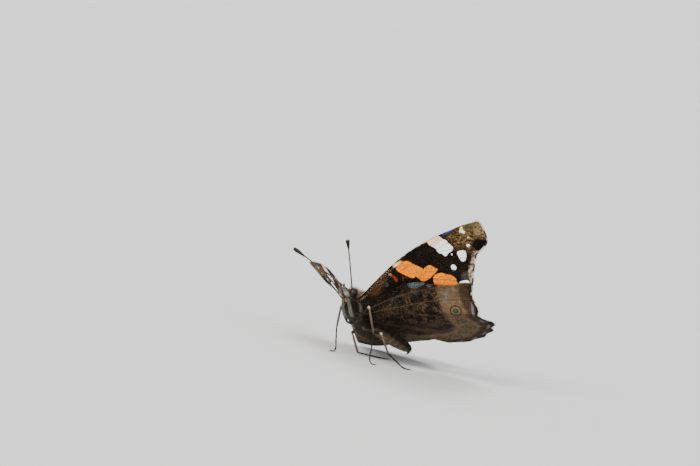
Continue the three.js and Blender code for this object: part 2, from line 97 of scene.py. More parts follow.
# Wings: U runs outward, V forward and W out of the upper face
WING_ROOT = np.array([3.02, 1.92, -0.66])
WING_ANGLES = {"left": (30.1, 9.3, 31.7), "right": (27.9, 11.5, 35.5)}
ARCH = 0.8
ARCH_SPAN = 30.0
CHORD_ARCH = 0.01
CHORD_CREST = 7.0
FORE_COSTA = [
    (-1.4, 0.7), (0, 1.2), (2.8, 4.1), (5.4, 6.75), (8, 9.15), (10.7, 11.35),
    (13.3, 13.15), (16, 14.85), (18.6, 16.35), (21.3, 17.8), (24, 19.05), (26.4, 19.75),
]
FORE_MARGIN = [
    (27.3, 17.2), (27.4, 14.9), (26.2, 13.2), (24.9, 11.8), (24.2, 9.4), (23.6, 6.0), (23.1, 2.8), (22.7, 0.6),
    (21.6, -0.2), (15, -0.3), (8, -0.8), (3, -1.0), (-1.4, -0.9),
]
FORE_VEINS = [
    [(-0.6, 0.7), (4.9, 5.2), (9, 8.7), (13.8, 12.6)],
    [(-0.6, 0.4), (5, 4.3), (9.5, 7.7), (14.8, 11.2)],
    [(11, 8.8), (14.2, 12.0), (17.4, 14.9)],
    [(13.4, 10.4), (17, 13.9), (20.2, 16.5)],
    [(14.8, 11.2), (20.6, 15.2), (25.7, 18.6)],
    [(18.8, 13.9), (23, 15.7), (26.4, 16.6)],
    [(14.8, 11.2), (20.8, 13.0), (26.6, 14.5)],
    [(14.5, 9.5), (19.6, 10.5), (24.0, 11.4)],
    [(13.8, 7.2), (18.8, 8.1), (23.3, 8.8)],
    [(12, 5.8), (17.7, 5.9), (22.8, 5.7)],
    [(9, 4.2), (15.7, 3.6), (22.4, 2.8)],
    [(-0.6, 0.1), (5, 2.4), (9, 4.2), (12, 5.8), (13.8, 7.2)],
    [(13.8, 7.2), (14.5, 9.5), (14.8, 11.2)],
    [(-0.6, -0.3), (7, 0.3), (15, 0.8), (22.0, 1.0)],
]
HIND_ROOT = (1.3, -2.3)
HIND_COSTA = [
    (-0.4, -1.7), (1.6, -1.2), (3.2, 0.8), (6, 3.0), (9, 4.6),
    (12.2, 5.35), (14.9, 5.2), (17.6, 5.1), (20, 5.35), (21.3, 6.2), (22.8, 6.5),
]
HIND_REACH = [(18, 22.9), (8, 23.4), (-4, 24.0), (-17, 24.3), (-30, 24.0), (-42, 22.9), (-52, 20.6)]
HIND_INNER = [(10.3, -14.2), (6.6, -9.8), (3.2, -5.2), (-0.4, -3.3)]
SCALLOP_DEPTH = 0.28
SCALLOP_ANGLE = 10.5
HIND_DROP = 1.0
FOLD_START = -0.5
FOLD_LENGTH = 5.0
FOLD = {"left": math.radians(48), "right": math.radians(62)}
CUP = 0.013
CUP_START = 6.0
HIND_VEINS = [
    [(0, -1.9), (5, 0.8), (10, 2.8), (16, 4.4), (21.6, 5.5)],
    [(0, -2.3), (5, -0.8), (9, 0.2), (16, 1.8), (23.0, 2.6)],
    [(9, 0.2), (11, -1.2), (18, -1.7), (24.4, -1.9)],
    [(11.3, -3.4), (18, -5.0), (24.4, -6.2)],
    [(10.4, -5.6), (17, -8.6), (23.0, -11.0)],
    [(9.6, -6.6), (15.5, -10.8), (20.8, -14.5)],
    [(7, -6.0), (12.5, -12), (17.8, -17.0)],
    [(0, -2.7), (4, -4.4), (7, -6.0), (9.6, -6.6), (10.4, -5.6)],
    [(0, -3.0), (5, -7.2), (10, -13), (14.6, -17.8)],
    [(11, -1.2), (11.3, -3.4), (10.4, -5.6)],
]
MEMBRANE_HALF = 0.05
VEIN_RIDGE = 0.07
VEIN_WIDTH = 0.2
PLEAT_DEPTH = 0.09
WING_GRID = 0.24

# The camera, in the body frame: where the photograph's right, up and viewer lie
VIEW_RIGHT = np.array([-0.6133, 0.5428, 0.5738])
VIEW_UP = np.array([0.7238, 0.0953, 0.6834])
VIEW_BACK = np.array([0.3163, 0.8344, -0.4513])
VIEW_OFFSET = (-3.02, 15.6)
VIEW_WIDTH = 137.3
VIEW_DISTANCE = 850.0
SENSOR = 36.0


# Placing


def turn(axis, angle):
    """Rotation about X, Y or Z, given as 0, 1 or 2."""
    i, j = (axis + 1) % 3, (axis + 2) % 3
    matrix = np.eye(3)
    matrix[i, i] = matrix[j, j] = math.cos(angle)
    matrix[j, i] = math.sin(angle)
    matrix[i, j] = -matrix[j, i]
    return matrix


BODY_TURN = turn(2, -math.pi / 2) @ turn(1, -PITCH) @ turn(0, ROLL)


def to_world(points):
    """Body-frame millimetres to the frame's metres."""
    return (np.asarray(points, float) @ BODY_TURN.T + BODY_POSITION) * MM


def to_body(points):
    """World millimetres to the body frame."""
    return (np.asarray(points, float) - BODY_POSITION) @ BODY_TURN


def mirrored(points, side):
    return np.asarray(points, float) * np.array([1, side, 1])


def unit(vectors):
    vectors = np.asarray(vectors, float)
    return vectors / np.maximum(np.linalg.norm(vectors, axis=-1, keepdims=True), 1e-9)


# Meshes from arrays


def new_piece(name, points, faces, slot, materials, replaces=(), fields=None, uv=None):
    """A triangle mesh in the world frame from body-frame points, riding on the one body."""
    points = to_world(points)
    points[:, 2] = np.maximum(points[:, 2], FLOOR_CLEARANCE * MM)
    faces = np.asarray(faces, np.int32)
    mesh = bpy.data.meshes.new(name)
    mesh.vertices.add(len(points))
    mesh.vertices.foreach_set("co", points.astype(np.float32).ravel())
    mesh.loops.add(faces.size)
    mesh.loops.foreach_set("vertex_index", faces.ravel())
    mesh.polygons.add(len(faces))
    mesh.polygons.foreach_set("loop_start", np.arange(len(faces), dtype=np.int32) * 3)
    mesh.update(calc_edges=True)
    mesh.shade_smooth()
    for key, values in (fields or {}).items():
        values = np.asarray(values, np.float32)
        kind = "FLOAT" if values.ndim == 1 else "FLOAT_VECTOR"
        layer = mesh.attributes.new(key, kind, "POINT")
        layer.data.foreach_set("value" if values.ndim == 1 else "vector", values.ravel())
    if uv is not None:
        layer = mesh.uv_layers.new(name="OFBake")
        layer.data.foreach_set("uv", np.asarray(uv, np.float32)[faces.ravel()].ravel())
    for material in materials:
        mesh.materials.append(material)
    piece = bpy.data.objects.new(name, mesh)
    bpy.context.collection.objects.link(piece)
    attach(piece, "root")
    if replaces:
        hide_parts(*replaces)
    return piece


def join_arrays(parts):
    """Join (points, faces, fields) parts into one."""
    points = np.concatenate([p[0] for p in parts])
    shifts = np.cumsum([0] + [len(p[0]) for p in parts[:-1]])
    faces = np.concatenate([p[1] + shift for p, shift in zip(parts, shifts)])
    keys = parts[0][2].keys()
    return points, faces, {key: np.concatenate([p[2][key] for p in parts]) for key in keys}


def smooth_path(points, count, closed=False):
    """Evenly spaced points on a centripetal spline through the given ones."""
    points = np.asarray(points, float)
    if closed:
        points = np.concatenate([points[-2:], points, points[:3]])
    else:
        points = np.concatenate([[2 * points[0] - points[1]], points, [2 * points[-1] - points[-2]]])
    dense = []
    for i in range(1, len(points) - 2):
        a, b, c, d = points[i - 1:i + 3]
        ab, bc, cd = (max(np.linalg.norm(q - p), 1e-9) ** 0.5 for p, q in ((a, b), (b, c), (c, d)))
        m1 = bc * ((b - a) / ab - (c - a) / (ab + bc) + (c - b) / bc)
        m2 = bc * ((c - b) / bc - (d - b) / (bc + cd) + (d - c) / cd)
        t = np.linspace(0, 1, 24, endpoint=False)[:, None]
        h = (2 * t**3 - 3 * t**2 + 1) * b + (t**3 - 2 * t**2 + t) * m1
        dense.append(h + (3 * t**2 - 2 * t**3) * c + (t**3 - t**2) * m2)
    dense = np.concatenate(dense + [points[-2:-1]])
    if closed:
        dense = dense[24:-24]
    reach = np.concatenate([[0], np.cumsum(np.linalg.norm(np.diff(dense, axis=0), axis=1))])
    at = np.linspace(0, reach[-1], count)
    return np.stack([np.interp(at, reach, dense[:, k]) for k in range(dense.shape[1])], axis=1)


def path_length(points):
    return float(np.linalg.norm(np.diff(points, axis=0), axis=1).sum())


def tube(path, radii, sides=12, twist_up=(0, 0, 1)):
    """Closed tapered tube along a path, with its share of the length and turn as fields."""
    path = np.asarray(path, float)
    count = len(path)
    tangents = unit(np.gradient(path, axis=0))
    normal = unit(np.cross(np.cross(tangents[0], twist_up), tangents[0]))
    frames = []
    for tangent in tangents:
        normal = unit(normal - tangent * np.dot(normal, tangent))
        frames.append((normal, np.cross(tangent, normal)))
    turns = np.linspace(0, 2 * math.pi, sides, endpoint=False)
    points, share, angle = [], [], []
    for i, (n, b) in enumerate(frames):
        points.append(path[i] + radii[i] * (np.cos(turns)[:, None] * n + np.sin(turns)[:, None] * b))
        share.append(np.full(sides, i / (count - 1)))
        angle.append(turns / (2 * math.pi))
    points.append(path[[0, -1]])
    share.append(np.array([0.0, 1.0]))
    angle.append(np.zeros(2))
    k = np.arange(sides)
    k2 = (k + 1) % sides
    faces = []
    for i in range(count - 1):
        a, b = i * sides + k, i * sides + k2
        faces.append(np.stack([a, b, a + sides], 1))
        faces.append(np.stack([b, b + sides, a + sides], 1))
    tail = count * sides
    faces.append(np.stack([np.full(sides, tail), k2, k], 1))
    faces.append(np.stack([np.full(sides, tail + 1), tail - sides + k, tail - sides + k2], 1))
    fields = {"share": np.concatenate(share), "turn": np.concatenate(angle)}
    return np.concatenate(points), np.concatenate(faces).astype(np.int32), fields


def ellipsoid(centre, half, rings=48, sides=64):
    """Closed ellipsoid with its poles along X."""
    share = np.linspace(0, 1, rings + 1)
    path = np.stack([-np.cos(math.pi * share), 0 * share, 0 * share], 1)
    points, faces, fields = tube(path, np.sin(math.pi * share) + 1e-6, sides)
    return points * half + centre, faces, fields


# Coats of small solid tufts

TUFT_FACES = np.array([
    [2, 1, 0], [0, 1, 3], [1, 4, 3], [1, 2, 4], [2, 5, 4], [2, 0, 5], [0, 3, 5], [3, 4, 6], [4, 5, 6], [5, 3, 6],
])
TUFT_PATCH = 0.0015 * np.array([[-1, -1], [1, -1], [0, -0.6], [-1, 0.4], [1, 0.4], [0, 0.6], [0, 1]])
# Painted shade at each tuft's root and a painted highlight at its tip, read by the coat material
TUFT_LIGHT = np.array([0, 0, 0, 0.45, 0.45, 0.45, 1.0])
UV_EDGE = 0.004


def tufts(name, roots, normals, lies, lengths, widths, slot, rise, fields, spots, material):
    """Tapered three-sided tufts that bend over towards the lie of the coat, each with its own patch of the map."""
    normals, lies = unit(normals), unit(lies)
    across = unit(np.cross(normals, lies))
    lengths, widths = np.asarray(lengths)[:, None], np.asarray(widths)[:, None]
    first = unit(lies * np.cos(rise[0]) + normals * np.sin(rise[0]))
    second = unit(lies * np.cos(rise[1]) + normals * np.sin(rise[1]))
    base = roots - first * 0.12 * lengths
    middle = roots + first * 0.45 * lengths
    tip = middle + second * 0.55 * lengths
    up = unit(np.cross(first, across)) * -1
    rings = []
    for centre, width in ((base, widths), (middle, widths * 0.8)):
        for angle in (0, 2.1, 4.2):
            rings.append(centre + width * 0.5 * (math.cos(angle) * across + 0.5 * math.sin(angle) * up))
    points = np.stack(rings + [tip], 1)
    count = len(roots)
    faces = (TUFT_FACES[None] + 7 * np.arange(count)[:, None, None]).reshape(-1, 3)
    uv = (np.clip(spots, UV_EDGE, 1 - UV_EDGE)[:, None, :] + TUFT_PATCH[None]).reshape(-1, 2)
    fields = {key: np.repeat(value, 7, axis=0) for key, value in fields.items()}
    fields["tip"] = np.tile(TUFT_LIGHT, count)
    new_piece(name, points.reshape(-1, 3), faces, slot, [material], fields=fields, uv=uv)


def scatter(points, faces, count, fields, weight=None):
    """Random places on a triangle mesh, with normals and blended fields."""
    corners = points[faces]
    cross = np.cross(corners[:, 1] - corners[:, 0], corners[:, 2] - corners[:, 0])
    area = np.linalg.norm(cross, axis=1)
    if weight is not None:
        area = area * weight(corners.mean(axis=1))
    chosen = RNG.choice(len(faces), count, p=area / area.sum())
    a, b = RNG.random(count), RNG.random(count)
    flip = a + b > 1
    a, b = np.where(flip, 1 - a, a), np.where(flip, 1 - b, b)
    shares = np.stack([1 - a - b, a, b], 1)
    place = (corners[chosen] * shares[:, :, None]).sum(axis=1)
    blended = {key: (value[faces[chosen]] * (shares if value.ndim == 1 else shares[:, :, None])).sum(axis=1)
               for key, value in fields.items()}
    return place, unit(cross[chosen]), blended


def strand_roots(path, mesh, count, sway):
    """Random places on a strand's skin, with normals, lies along the strand and blended fields."""
    roots, normals, at = scatter(*mesh[:2], count, mesh[2])
    last = len(path) - 2
    steps = np.clip((at["share"] * last).astype(int), 0, last)
    lies = unit(path[steps + 1] - path[steps]) + RNG.normal(0, sway, (count, 3))
    return roots, normals, lies, at


def map_spots(at):
    return np.stack([at["share"], at["turn"]], 1)


def spread(count, low=0.6, high=1.5):
    """A random factor for each tuft's colour."""
    return RNG.uniform(low, high, (count, 1))


# Materials


class Shader:
    """A small helper that adds and links shader nodes."""

    def __init__(self, name):
        self.material = bpy.data.materials.new(name)
        self.material.use_nodes = True
        self.nodes = self.material.node_tree.nodes
        self.links = self.material.node_tree.links
        self.surface = self.nodes["Principled BSDF"]

    def put(self, socket, value):
        if isinstance(value, bpy.types.NodeSocket):
            self.links.new(value, socket)
        elif isinstance(value, (tuple, list)) and len(value) == 3 and len(socket.default_value) == 4:
            socket.default_value = (*value, 1.0)
        else:
            socket.default_value = value

    def add(self, kind, output=0, inputs=None, **settings):
        node = self.nodes.new(kind)
        for key, value in settings.items():
            setattr(node, key, value)
        for key, value in (inputs or {}).items():
            self.put(node.inputs[key], value)
        return node.outputs[output]

    def field(self, name, output="Fac"):
        return self.add("ShaderNodeAttribute", output, attribute_name=name)

    def place(self):
        return self.add("ShaderNodeNewGeometry", "Position")

    def math(self, operation, a, b=0.0):
        return self.add("ShaderNodeMath", 0, {0: a, 1: b}, operation=operation)

    def times(self, *values):
        return reduce(lambda a, b: self.math("MULTIPLY", a, b), values)

    def span(self, value, low, high, to_low=0.0, to_high=1.0):
        return self.add("ShaderNodeMapRange", 0, {0: value, 1: low, 2: high, 3: to_low, 4: to_high},
                        interpolation_type="SMOOTHSTEP", clamp=True)

    def mix(self, share, a, b, blend="MIX"):
        return self.add("ShaderNodeMix", 2, {0: share, 6: a, 7: b}, data_type="RGBA", blend_type=blend)

    def shade(self, colour, amount):
        grey = self.add("ShaderNodeCombineColor", 0, {0: amount, 1: amount, 2: amount})
        return self.mix(1.0, colour, grey, "MULTIPLY")

    def stretch(self, vector, scale):
        return self.add("ShaderNodeMapping", 0, {"Vector": vector, "Scale": scale})

    def noise(self, vector, scale, detail=2.0, roughness=0.5):
        return self.add("ShaderNodeTexNoise", "Fac",
                        {"Vector": vector, "Scale": scale, "Detail": detail, "Roughness": roughness})

    def cells(self, vector, scale, output="Color"):
        return self.add("ShaderNodeTexVoronoi", output, {"Vector": vector, "Scale": scale})

    def bump(self, height, strength, distance):
        return self.add("ShaderNodeBump", 0, {"Height": height, "Strength": strength, "Distance": distance})

    def finish(self, colour, roughness, bump=None, **sockets):
        self.put(self.surface.inputs["Base Color"], colour)
        self.put(self.surface.inputs["Roughness"], roughness)
        if bump is not None:
            self.put(self.surface.inputs["Normal"], bump)
        for key, value in sockets.items():
            self.put(self.surface.inputs[key.replace("_", " ")], value)
        return self.material


# Wing forms


def fore_shape(u, v, w):
    arch = ARCH * np.sin(math.pi * u / ARCH_SPAN)
    return u, v, w + arch - CHORD_ARCH * ((v - CHORD_CREST) ** 2 - CHORD_CREST**2)


def hind_shape(fold):
    """The hindwing lies under the forewing in front and bends up behind it."""
    radius = FOLD_LENGTH / fold

    def shape(u, v, w):
        run = np.maximum(0, FOLD_START - v)
        angle = np.minimum(run, FOLD_LENGTH) / radius
        past = np.maximum(0, run - FOLD_LENGTH)
        back = radius * np.sin(angle) + past * np.cos(angle)
        up = radius * (1 - np.cos(angle)) + past * np.sin(angle)
        cup = CUP * np.maximum(0, u - CUP_START) ** 2 * np.minimum(1, run / FOLD_LENGTH)
        chord = CHORD_ARCH * ((np.maximum(v, FOLD_START) - CHORD_CREST) ** 2 - CHORD_CREST**2)
        arch = ARCH * np.sin(math.pi * u / ARCH_SPAN)
        forward = np.where(run > 0, FOLD_START, v) - back + w * np.sin(angle)
        return u, forward, arch - chord - HIND_DROP + up + cup + w * np.cos(angle)

    return shape


def wing_to_body(side_name):
    """Wing coordinates to the body frame."""
    rise, twist, sweep = (math.radians(a) for a in WING_ANGLES[side_name])
    side = SIDES[side_name]
    matrix = turn(0, side * rise) @ turn(1, -twist) @ turn(2, side * sweep)
    root = mirrored(WING_ROOT, side)
    return lambda u, v, w: np.stack([v, side * u, w], -1) @ matrix.T + root


def fore_outline():
    return np.array(FORE_COSTA + FORE_MARGIN), len(FORE_COSTA)


def hind_outline():
    first, last = HIND_REACH[0][0], HIND_REACH[-1][0]
    angles = np.arange(first, last - 1e-6, -SCALLOP_ANGLE / 8)
    scallop = SCALLOP_DEPTH * np.cos(2 * math.pi * (angles - first + SCALLOP_ANGLE) / SCALLOP_ANGLE)
    reach = hind_reach(angles) + scallop
    turn = np.radians(angles)
    outer = np.stack([HIND_ROOT[0] + reach * np.cos(turn), HIND_ROOT[1] + reach * np.sin(turn)], 1)
    return np.concatenate([HIND_COSTA, outer, HIND_INNER]), len(HIND_COSTA)


def line_distance(points, line):
    """Distance from each plane point to a polyline."""
    best = np.full(len(points), 1e9)
    for a, b in zip(line[:-1], line[1:]):
        step = b - a
        share = np.clip(((points - a) @ step) / max(step @ step, 1e-12), 0, 1)
        best = np.minimum(best, np.linalg.norm(points - a - share[:, None] * step, axis=1))
    return best


def is_inside(points, loop):
    inside = np.zeros(len(points), bool)
    for a, b in zip(loop, np.roll(loop, -1, axis=0)):
        crosses = (a[1] > points[:, 1]) != (b[1] > points[:, 1])
        at = a[0] + (b[0] - a[0]) * (points[:, 1] - a[1]) / (b[1] - a[1] + 1e-12)
        inside ^= crosses & (points[:, 0] < at)
    return inside


def blob_distance(points, loop):
    """Signed distance to a rounded closed shape, negative inside."""
    loop = smooth_path(loop, 60, closed=True)
    distance = line_distance(points, np.concatenate([loop, loop[:1]]))
    return np.where(is_inside(points, loop), -distance, distance)


def oval_distance(points, centre, half, angle=0.0):
    turn = np.array([[math.cos(angle), -math.sin(angle)], [math.sin(angle), math.cos(angle)]])
    local = (points - centre) @ turn
    scaled = np.linalg.norm(local / half, axis=1)
    return (scaled - 1) * min(half)


def lowest(*fields):
    return np.minimum.reduce(fields)


def wing_plan(control, veins):
    """Plane mesh of a wing: fine grid, vein lines and outline joined by one triangulation."""
    rough = smooth_path(control, 900, closed=True)
    rough = rough[:-1]
    outline = smooth_path(rough, int(path_length(rough) / WING_GRID), closed=True)[:-1]
    closed = np.concatenate([outline, outline[:1]])
    lines = [smooth_path(v, max(4, int(path_length(np.array(v, float)) / 0.3))) for v in veins]
    rows = []
    for line in lines:
        tangent = unit(np.gradient(line, axis=0))
        across = np.stack([-tangent[:, 1], tangent[:, 0]], 1)
        rows += [line] + [line + k * VEIN_WIDTH * across for k in (-1, -0.5, 0.5, 1)]
    low, high = outline.min(axis=0), outline.max(axis=0)
    step = WING_GRID
    grid = []
    for j, y in enumerate(np.arange(low[1], high[1], step * 0.866)):
        x = np.arange(low[0] + (j % 2) * step / 2, high[0], step)
        grid.append(np.stack([x, np.full(len(x), y)], 1))
    grid = np.concatenate(grid)
    near = lowest(*[line_distance(grid, line) for line in lines])
    grid = grid[(near > VEIN_WIDTH * 1.4) & is_inside(grid, outline)]
    grid = grid[line_distance(grid, closed) > step * 0.6]
    vein_points = np.concatenate(rows)
    vein_points = vein_points[is_inside(vein_points, outline)]
    vein_points = vein_points[line_distance(vein_points, closed) > step * 0.5]
    points = np.concatenate([outline, vein_points, grid])
    count = len(outline)
    edges = [(i, (i + 1) % count) for i in range(count)]
    points, _, faces, *_ = delaunay_2d_cdt([Vector(p) for p in points], edges, [], 1, 0.02)
    points = np.array([tuple(p) for p in points])
    faces = np.array(faces, np.int32)
    a, b, c = (points[faces[:, k]] for k in range(3))
    turned = (b[:, 0] - a[:, 0]) * (c[:, 1] - a[:, 1]) - (b[:, 1] - a[:, 1]) * (c[:, 0] - a[:, 0]) < 0
    faces[turned] = faces[turned][:, ::-1]
    return points, faces, lines, outline


def rim_edges(faces):
    edges = np.concatenate([faces[:, [0, 1]], faces[:, [1, 2]], faces[:, [2, 0]]])
    keys = {(a, b) for a, b in edges.tolist()}
    return np.array([(a, b) for a, b in keys if (b, a) not in keys], np.int32)


def build_wing(name, plan, fields, shape, side_name, slot, materials):
    """One wing: both faces with veins raised on them, closed round the rim."""
    points, faces = plan[:2]
    side = SIDES[side_name]
    near = fields["vein"]
    ridge = VEIN_RIDGE * np.clip(1 - (near / VEIN_WIDTH) ** 2, 0, 1) ** 2
    pleat = -PLEAT_DEPTH * (1 - np.exp(-((near / 0.7) ** 2)))
    edge = np.clip(fields["margin"] / 0.6, 0.35, 1)
    place = wing_to_body(side_name)
    u, v = points[:, 0], points[:, 1]
    layers = [place(*shape(u, v, pleat * edge + face * (MEMBRANE_HALF + ridge) * edge)) for face in (1, -1)]
    count = len(points)
    upper = faces if side < 0 else faces[:, ::-1]
    under = upper[:, ::-1] + count
    rim = rim_edges(faces)
    a, b = rim[:, 0], rim[:, 1]
    wall = np.concatenate([np.stack([a, a + count, b], 1), np.stack([b, a + count, b + count], 1)])
    wall = wall if side < 0 else wall[:, ::-1]
    both = {key: np.concatenate([value, value]) for key, value in fields.items()}
    both["plan"] = np.tile(np.stack([u, v, 0 * u], 1), (2, 1))
    piece = new_piece(name, np.concatenate(layers), np.concatenate([upper, under, wall]), slot, materials,
                      [name.replace("wing_skin", "wing")], both)
    which = np.repeat([0, 1], [len(upper), len(under) + len(wall)]).astype(np.int32)
    piece.data.polygons.foreach_set("material_index", which)


# Wing markings as distances in the wing's own plan, negative inside a mark

WHITE_BAR = [
    (14.7, 13.9), (15.7, 14.5), (16.6, 15.1), (17.4, 15.5), (17.7, 15.2), (18.2, 14.8), (18.8, 14.6), (19.2, 13.9),
    (19.8, 13.4), (20.0, 12.9), (19.7, 12.3), (19.0, 11.8), (18.6, 11.3), (18.2, 10.9), (17.9, 11.1), (17.8, 11.4),
    (17.1, 11.5), (16.7, 11.8), (16.5, 12.4), (16.1, 12.7), (15.5, 13.0), (15.0, 13.5),
]
WHITE_TIP = [
    (21.8, 16.9), (22.1, 17.9), (22.6, 18.2), (22.6, 17.5), (23.0, 16.9), (22.8, 16.4), (22.3, 16.7), (21.7, 16.6),
]
WHITE_OVAL = [
    (20.8, 12.1), (21.2, 12.4), (22.0, 12.6), (22.5, 12.5), (22.6, 12.1), (22.5, 11.1), (22.1, 10.3), (21.6, 10.1),
    (21.2, 10.6), (20.8, 11.5),
]
WHITE_DOTS = [
    ((23.5, 15.7), (0.2, 0.26)), ((23.25, 13.8), (0.3, 0.36)), ((19.7, 8.6), (0.54, 0.6)),
    ((19.6, 11.5), (0.13, 0.2)),
]
ORANGE_LOBES = [
    [(8.4, 8.5), (9.2, 9.1), (10.0, 9.4), (10.7, 9.2), (11.5, 8.7), (12.4, 8.3), (13.3, 7.8), (12.9, 7.1),
     (12.3, 6.6), (11.6, 6.0), (10.9, 5.7), (10.2, 6.0), (9.6, 6.3), (8.9, 6.6), (8.2, 7.0), (7.9, 7.5), (8.0, 8.1)],
    [(13.5, 7.8), (14.1, 8.4), (14.9, 8.7), (15.7, 8.3), (16.3, 7.9), (15.9, 7.3), (15.2, 6.6), (14.5, 5.8),
     (13.6, 5.3), (13.0, 5.2), (12.5, 5.5), (11.9, 6.0), (11.8, 6.2), (12.5, 6.6), (13.0, 7.1)],
    [(15.5, 6.5), (16.1, 6.9), (17.1, 7.2), (18.0, 7.0), (19.0, 6.9), (19.8, 6.4), (20.2, 5.4), (20.6, 4.8),
     (20.7, 3.0), (20.0, 2.2), (18.6, 2.2), (17.2, 3.0), (16.0, 3.9), (15.4, 4.9), (15.3, 5.6)],
]
RED_MARK = [
    (6.5, 6.4), (6.9, 6.3), (7.4, 6.0), (7.9, 5.6), (8.0, 4.9), (7.7, 4.7), (7.4, 5.2), (6.9, 5.6), (6.5, 6.0),
]
RED_DOTS = [((9.1, 5.6), (0.14, 0.5)), ((9.75, 5.9), (0.12, 0.2))]
RED_TIP = ((6.55, 6.3), (0.26, 0.2), 0.6)
BLUE_ARC = [(13.0, 11.3), (12.7, 10.7), (13.0, 10.1), (13.6, 9.6), (14.5, 9.0)]
BLUE_DOTS = [((24.6, 17.0), (0.16, 0.22)), ((24.7, 15.2), (0.16, 0.24)), ((22.9, 7.4), (0.14, 0.3))]
GREY_LINE = [(6.7, 6.5), (6.2, 5.9), (5.5, 5.0), (4.8, 4.3), (4.4, 3.5)]
GREY_HOOK = [(5.5, 4.8), (5.6, 4.4), (5.95, 3.9), (5.5, 3.7)]
FORE_MARKS = {
    "band": [
        (7.7, 8.5), (9.4, 9.3), (11.6, 8.9), (14.0, 8.0), (16.6, 6.8), (19.2, 5.3), (21.0, 3.6), (21.9, 1.8),
        (21.4, 0.6), (19.6, 0.8), (17.4, 2.3), (15.2, 3.7), (12.7, 4.9), (10.1, 6.1), (8.3, 7.3),
    ],
    "cream": [(7.3, 8.2), (8.2, 8.95), (9.2, 9.35), (8.4, 8.5), (7.9, 8.1), (7.6, 7.8)],
    "mottle": [
        (18.5, 15.3), (19.4, 14.6), (20.2, 13.5), (20.3, 12.5),
        (21.0, 12.9), (22.5, 13.2), (23.3, 12.3), (24.2, 13.1),
        (26.0, 15.7), (27.6, 15.9), (27.9, 18.3), (27.2, 20.6),
        (24.6, 19.9), (22.9, 18.9), (21.2, 17.3), (19.5, 16.2),
    ],
    "dark": [
        (24.2, 14.5), (25.1, 15.6), (26.3, 15.5), (27.7, 15.1),
        (27.8, 14.1), (26.5, 13.4), (25.6, 12.7), (24.9, 13.2),
        (24.1, 13.5),
    ],
    "tan": [
        (24.3, 12.6), (25.2, 12.5), (24.9, 10.6), (24.5, 9.4), (23.9, 7.2), (23.4, 5.2), (23.0, 5.8), (22.9, 8.6),
        (23.5, 10.1), (23.9, 11.7),
    ],
    "violet": [(18.0, 16.1), (19.2, 16.8), (20.4, 17.5), (20.3, 16.9), (19.1, 16.2), (18.1, 15.7)],
    "olive": [(22.5, 17.8), (23.8, 19.0), (25.4, 19.4), (25.5, 18.7), (24.3, 17.7), (23.1, 17.3)],
    "light": [
        (25.7, 18.7), (26.7, 19.6), (27.5, 18.6), (27.6, 17.4),
        (27.3, 16.0), (26.1, 15.5), (25.2, 16.3), (25.2, 17.5),
    ],
    "dust": [(21.4, 7.2), (22.6, 7.8), (23.8, 7.4), (23.9, 5.8), (23.5, 3.6), (22.4, 3.2), (21.6, 5.0)],
    "rust": [(2.6, 1.9), (3.2, 3.5), (4.5, 4.9), (5.6, 5.7), (5.5, 4.9), (4.6, 3.5), (3.8, 2.0)],
}
FORE_TERMEN = 8
FORE_VEIN_ENDS = [(26.9, 16.7), (27.2, 14.6), (24.8, 11.6), (23.95, 8.9), (23.5, 5.8), (23.1, 2.8), (22.6, 0.9)]
FORE_CHECK = 0.75
HIND_SPACES = [7, -4, -16, -27, -37, -45.5]
HIND_DOTS = HIND_SPACES[1:5]
HIND_BLUE = -46
HIND_VEIN_ANGLES = (18.7, 12.7, 1.0, -9.6, -21.8, -32.0, -41.7, -49.4)
HIND_CHECK = 0.85
HIND_PALE = [
    (10.4, 5.3), (11.5, 5.6), (12.5, 5.6), (13.8, 5.7), (13.5, 4.9),
    (12.6, 4.5), (12.1, 4.1), (11.1, 4.0), (10.5, 4.4),
]
HIND_PALE_DOT = ((14.6, 4.7), (0.4, 0.28))
HIND_APEX_MARK = [(20.9, 6.6), (22.4, 6.9), (23.9, 6.7), (23.7, 6.15), (22.4, 6.1), (21.0, 5.95)]


def vein_checks(points, ends, reach):
    """How far a margin point is from the nearest vein end, less the reach of its dark check."""
    gaps = [np.linalg.norm(points - np.array(end), axis=1) for end in ends]
    return reach - lowest(*gaps)


def edge_fields(plan, costa, termen, hinge):
    """Distances to the veins and to each part of the outline."""
    points, _, lines, outline = plan
    return {
        "vein": lowest(*[line_distance(points, line) for line in lines]),
        "margin": line_distance(points, np.concatenate([outline, outline[:1]])),
        "costa": line_distance(points, costa),
        "termen": line_distance(points, termen),
        "hinge": line_distance(points, hinge),
    }


def ovals(points, marks):
    return [oval_distance(points, *mark) for mark in marks]


def stroke(points, line, half):
    return line_distance(points, smooth_path(line, 30)) - half


def fore_fields(plan):
    points = plan[0]
    control, start = fore_outline()
    stop = start + FORE_TERMEN
    costa = smooth_path(control[:start], 80)
    termen = smooth_path(control[start - 1:stop], 80)
    fields = edge_fields(plan, costa, termen, smooth_path(control[stop - 1:], 60))
    fields.update({key: blob_distance(points, mark) for key, mark in FORE_MARKS.items()})
    white = [blob_distance(points, mark) for mark in (WHITE_BAR, WHITE_TIP, WHITE_OVAL)]
    fields["white"] = lowest(*white, *ovals(points, WHITE_DOTS))
    fields["orange"] = lowest(*[blob_distance(points, lobe) for lobe in ORANGE_LOBES])
    fields["red"] = lowest(blob_distance(points, RED_MARK), *ovals(points, RED_DOTS))
    fields["blue"] = lowest(stroke(points, BLUE_ARC, 0.16), *ovals(points, BLUE_DOTS))
    fields["grey"] = lowest(stroke(points, GREY_LINE, 0.07), stroke(points, GREY_HOOK, 0.13))
    fields["tip_dot"] = oval_distance(points, *RED_TIP)
    fields["check"] = vein_checks(points, FORE_VEIN_ENDS, FORE_CHECK)
    return fields


def hind_reach(angles):
    return np.interp(-angles, [-a for a, _ in HIND_REACH], [r for _, r in HIND_REACH])


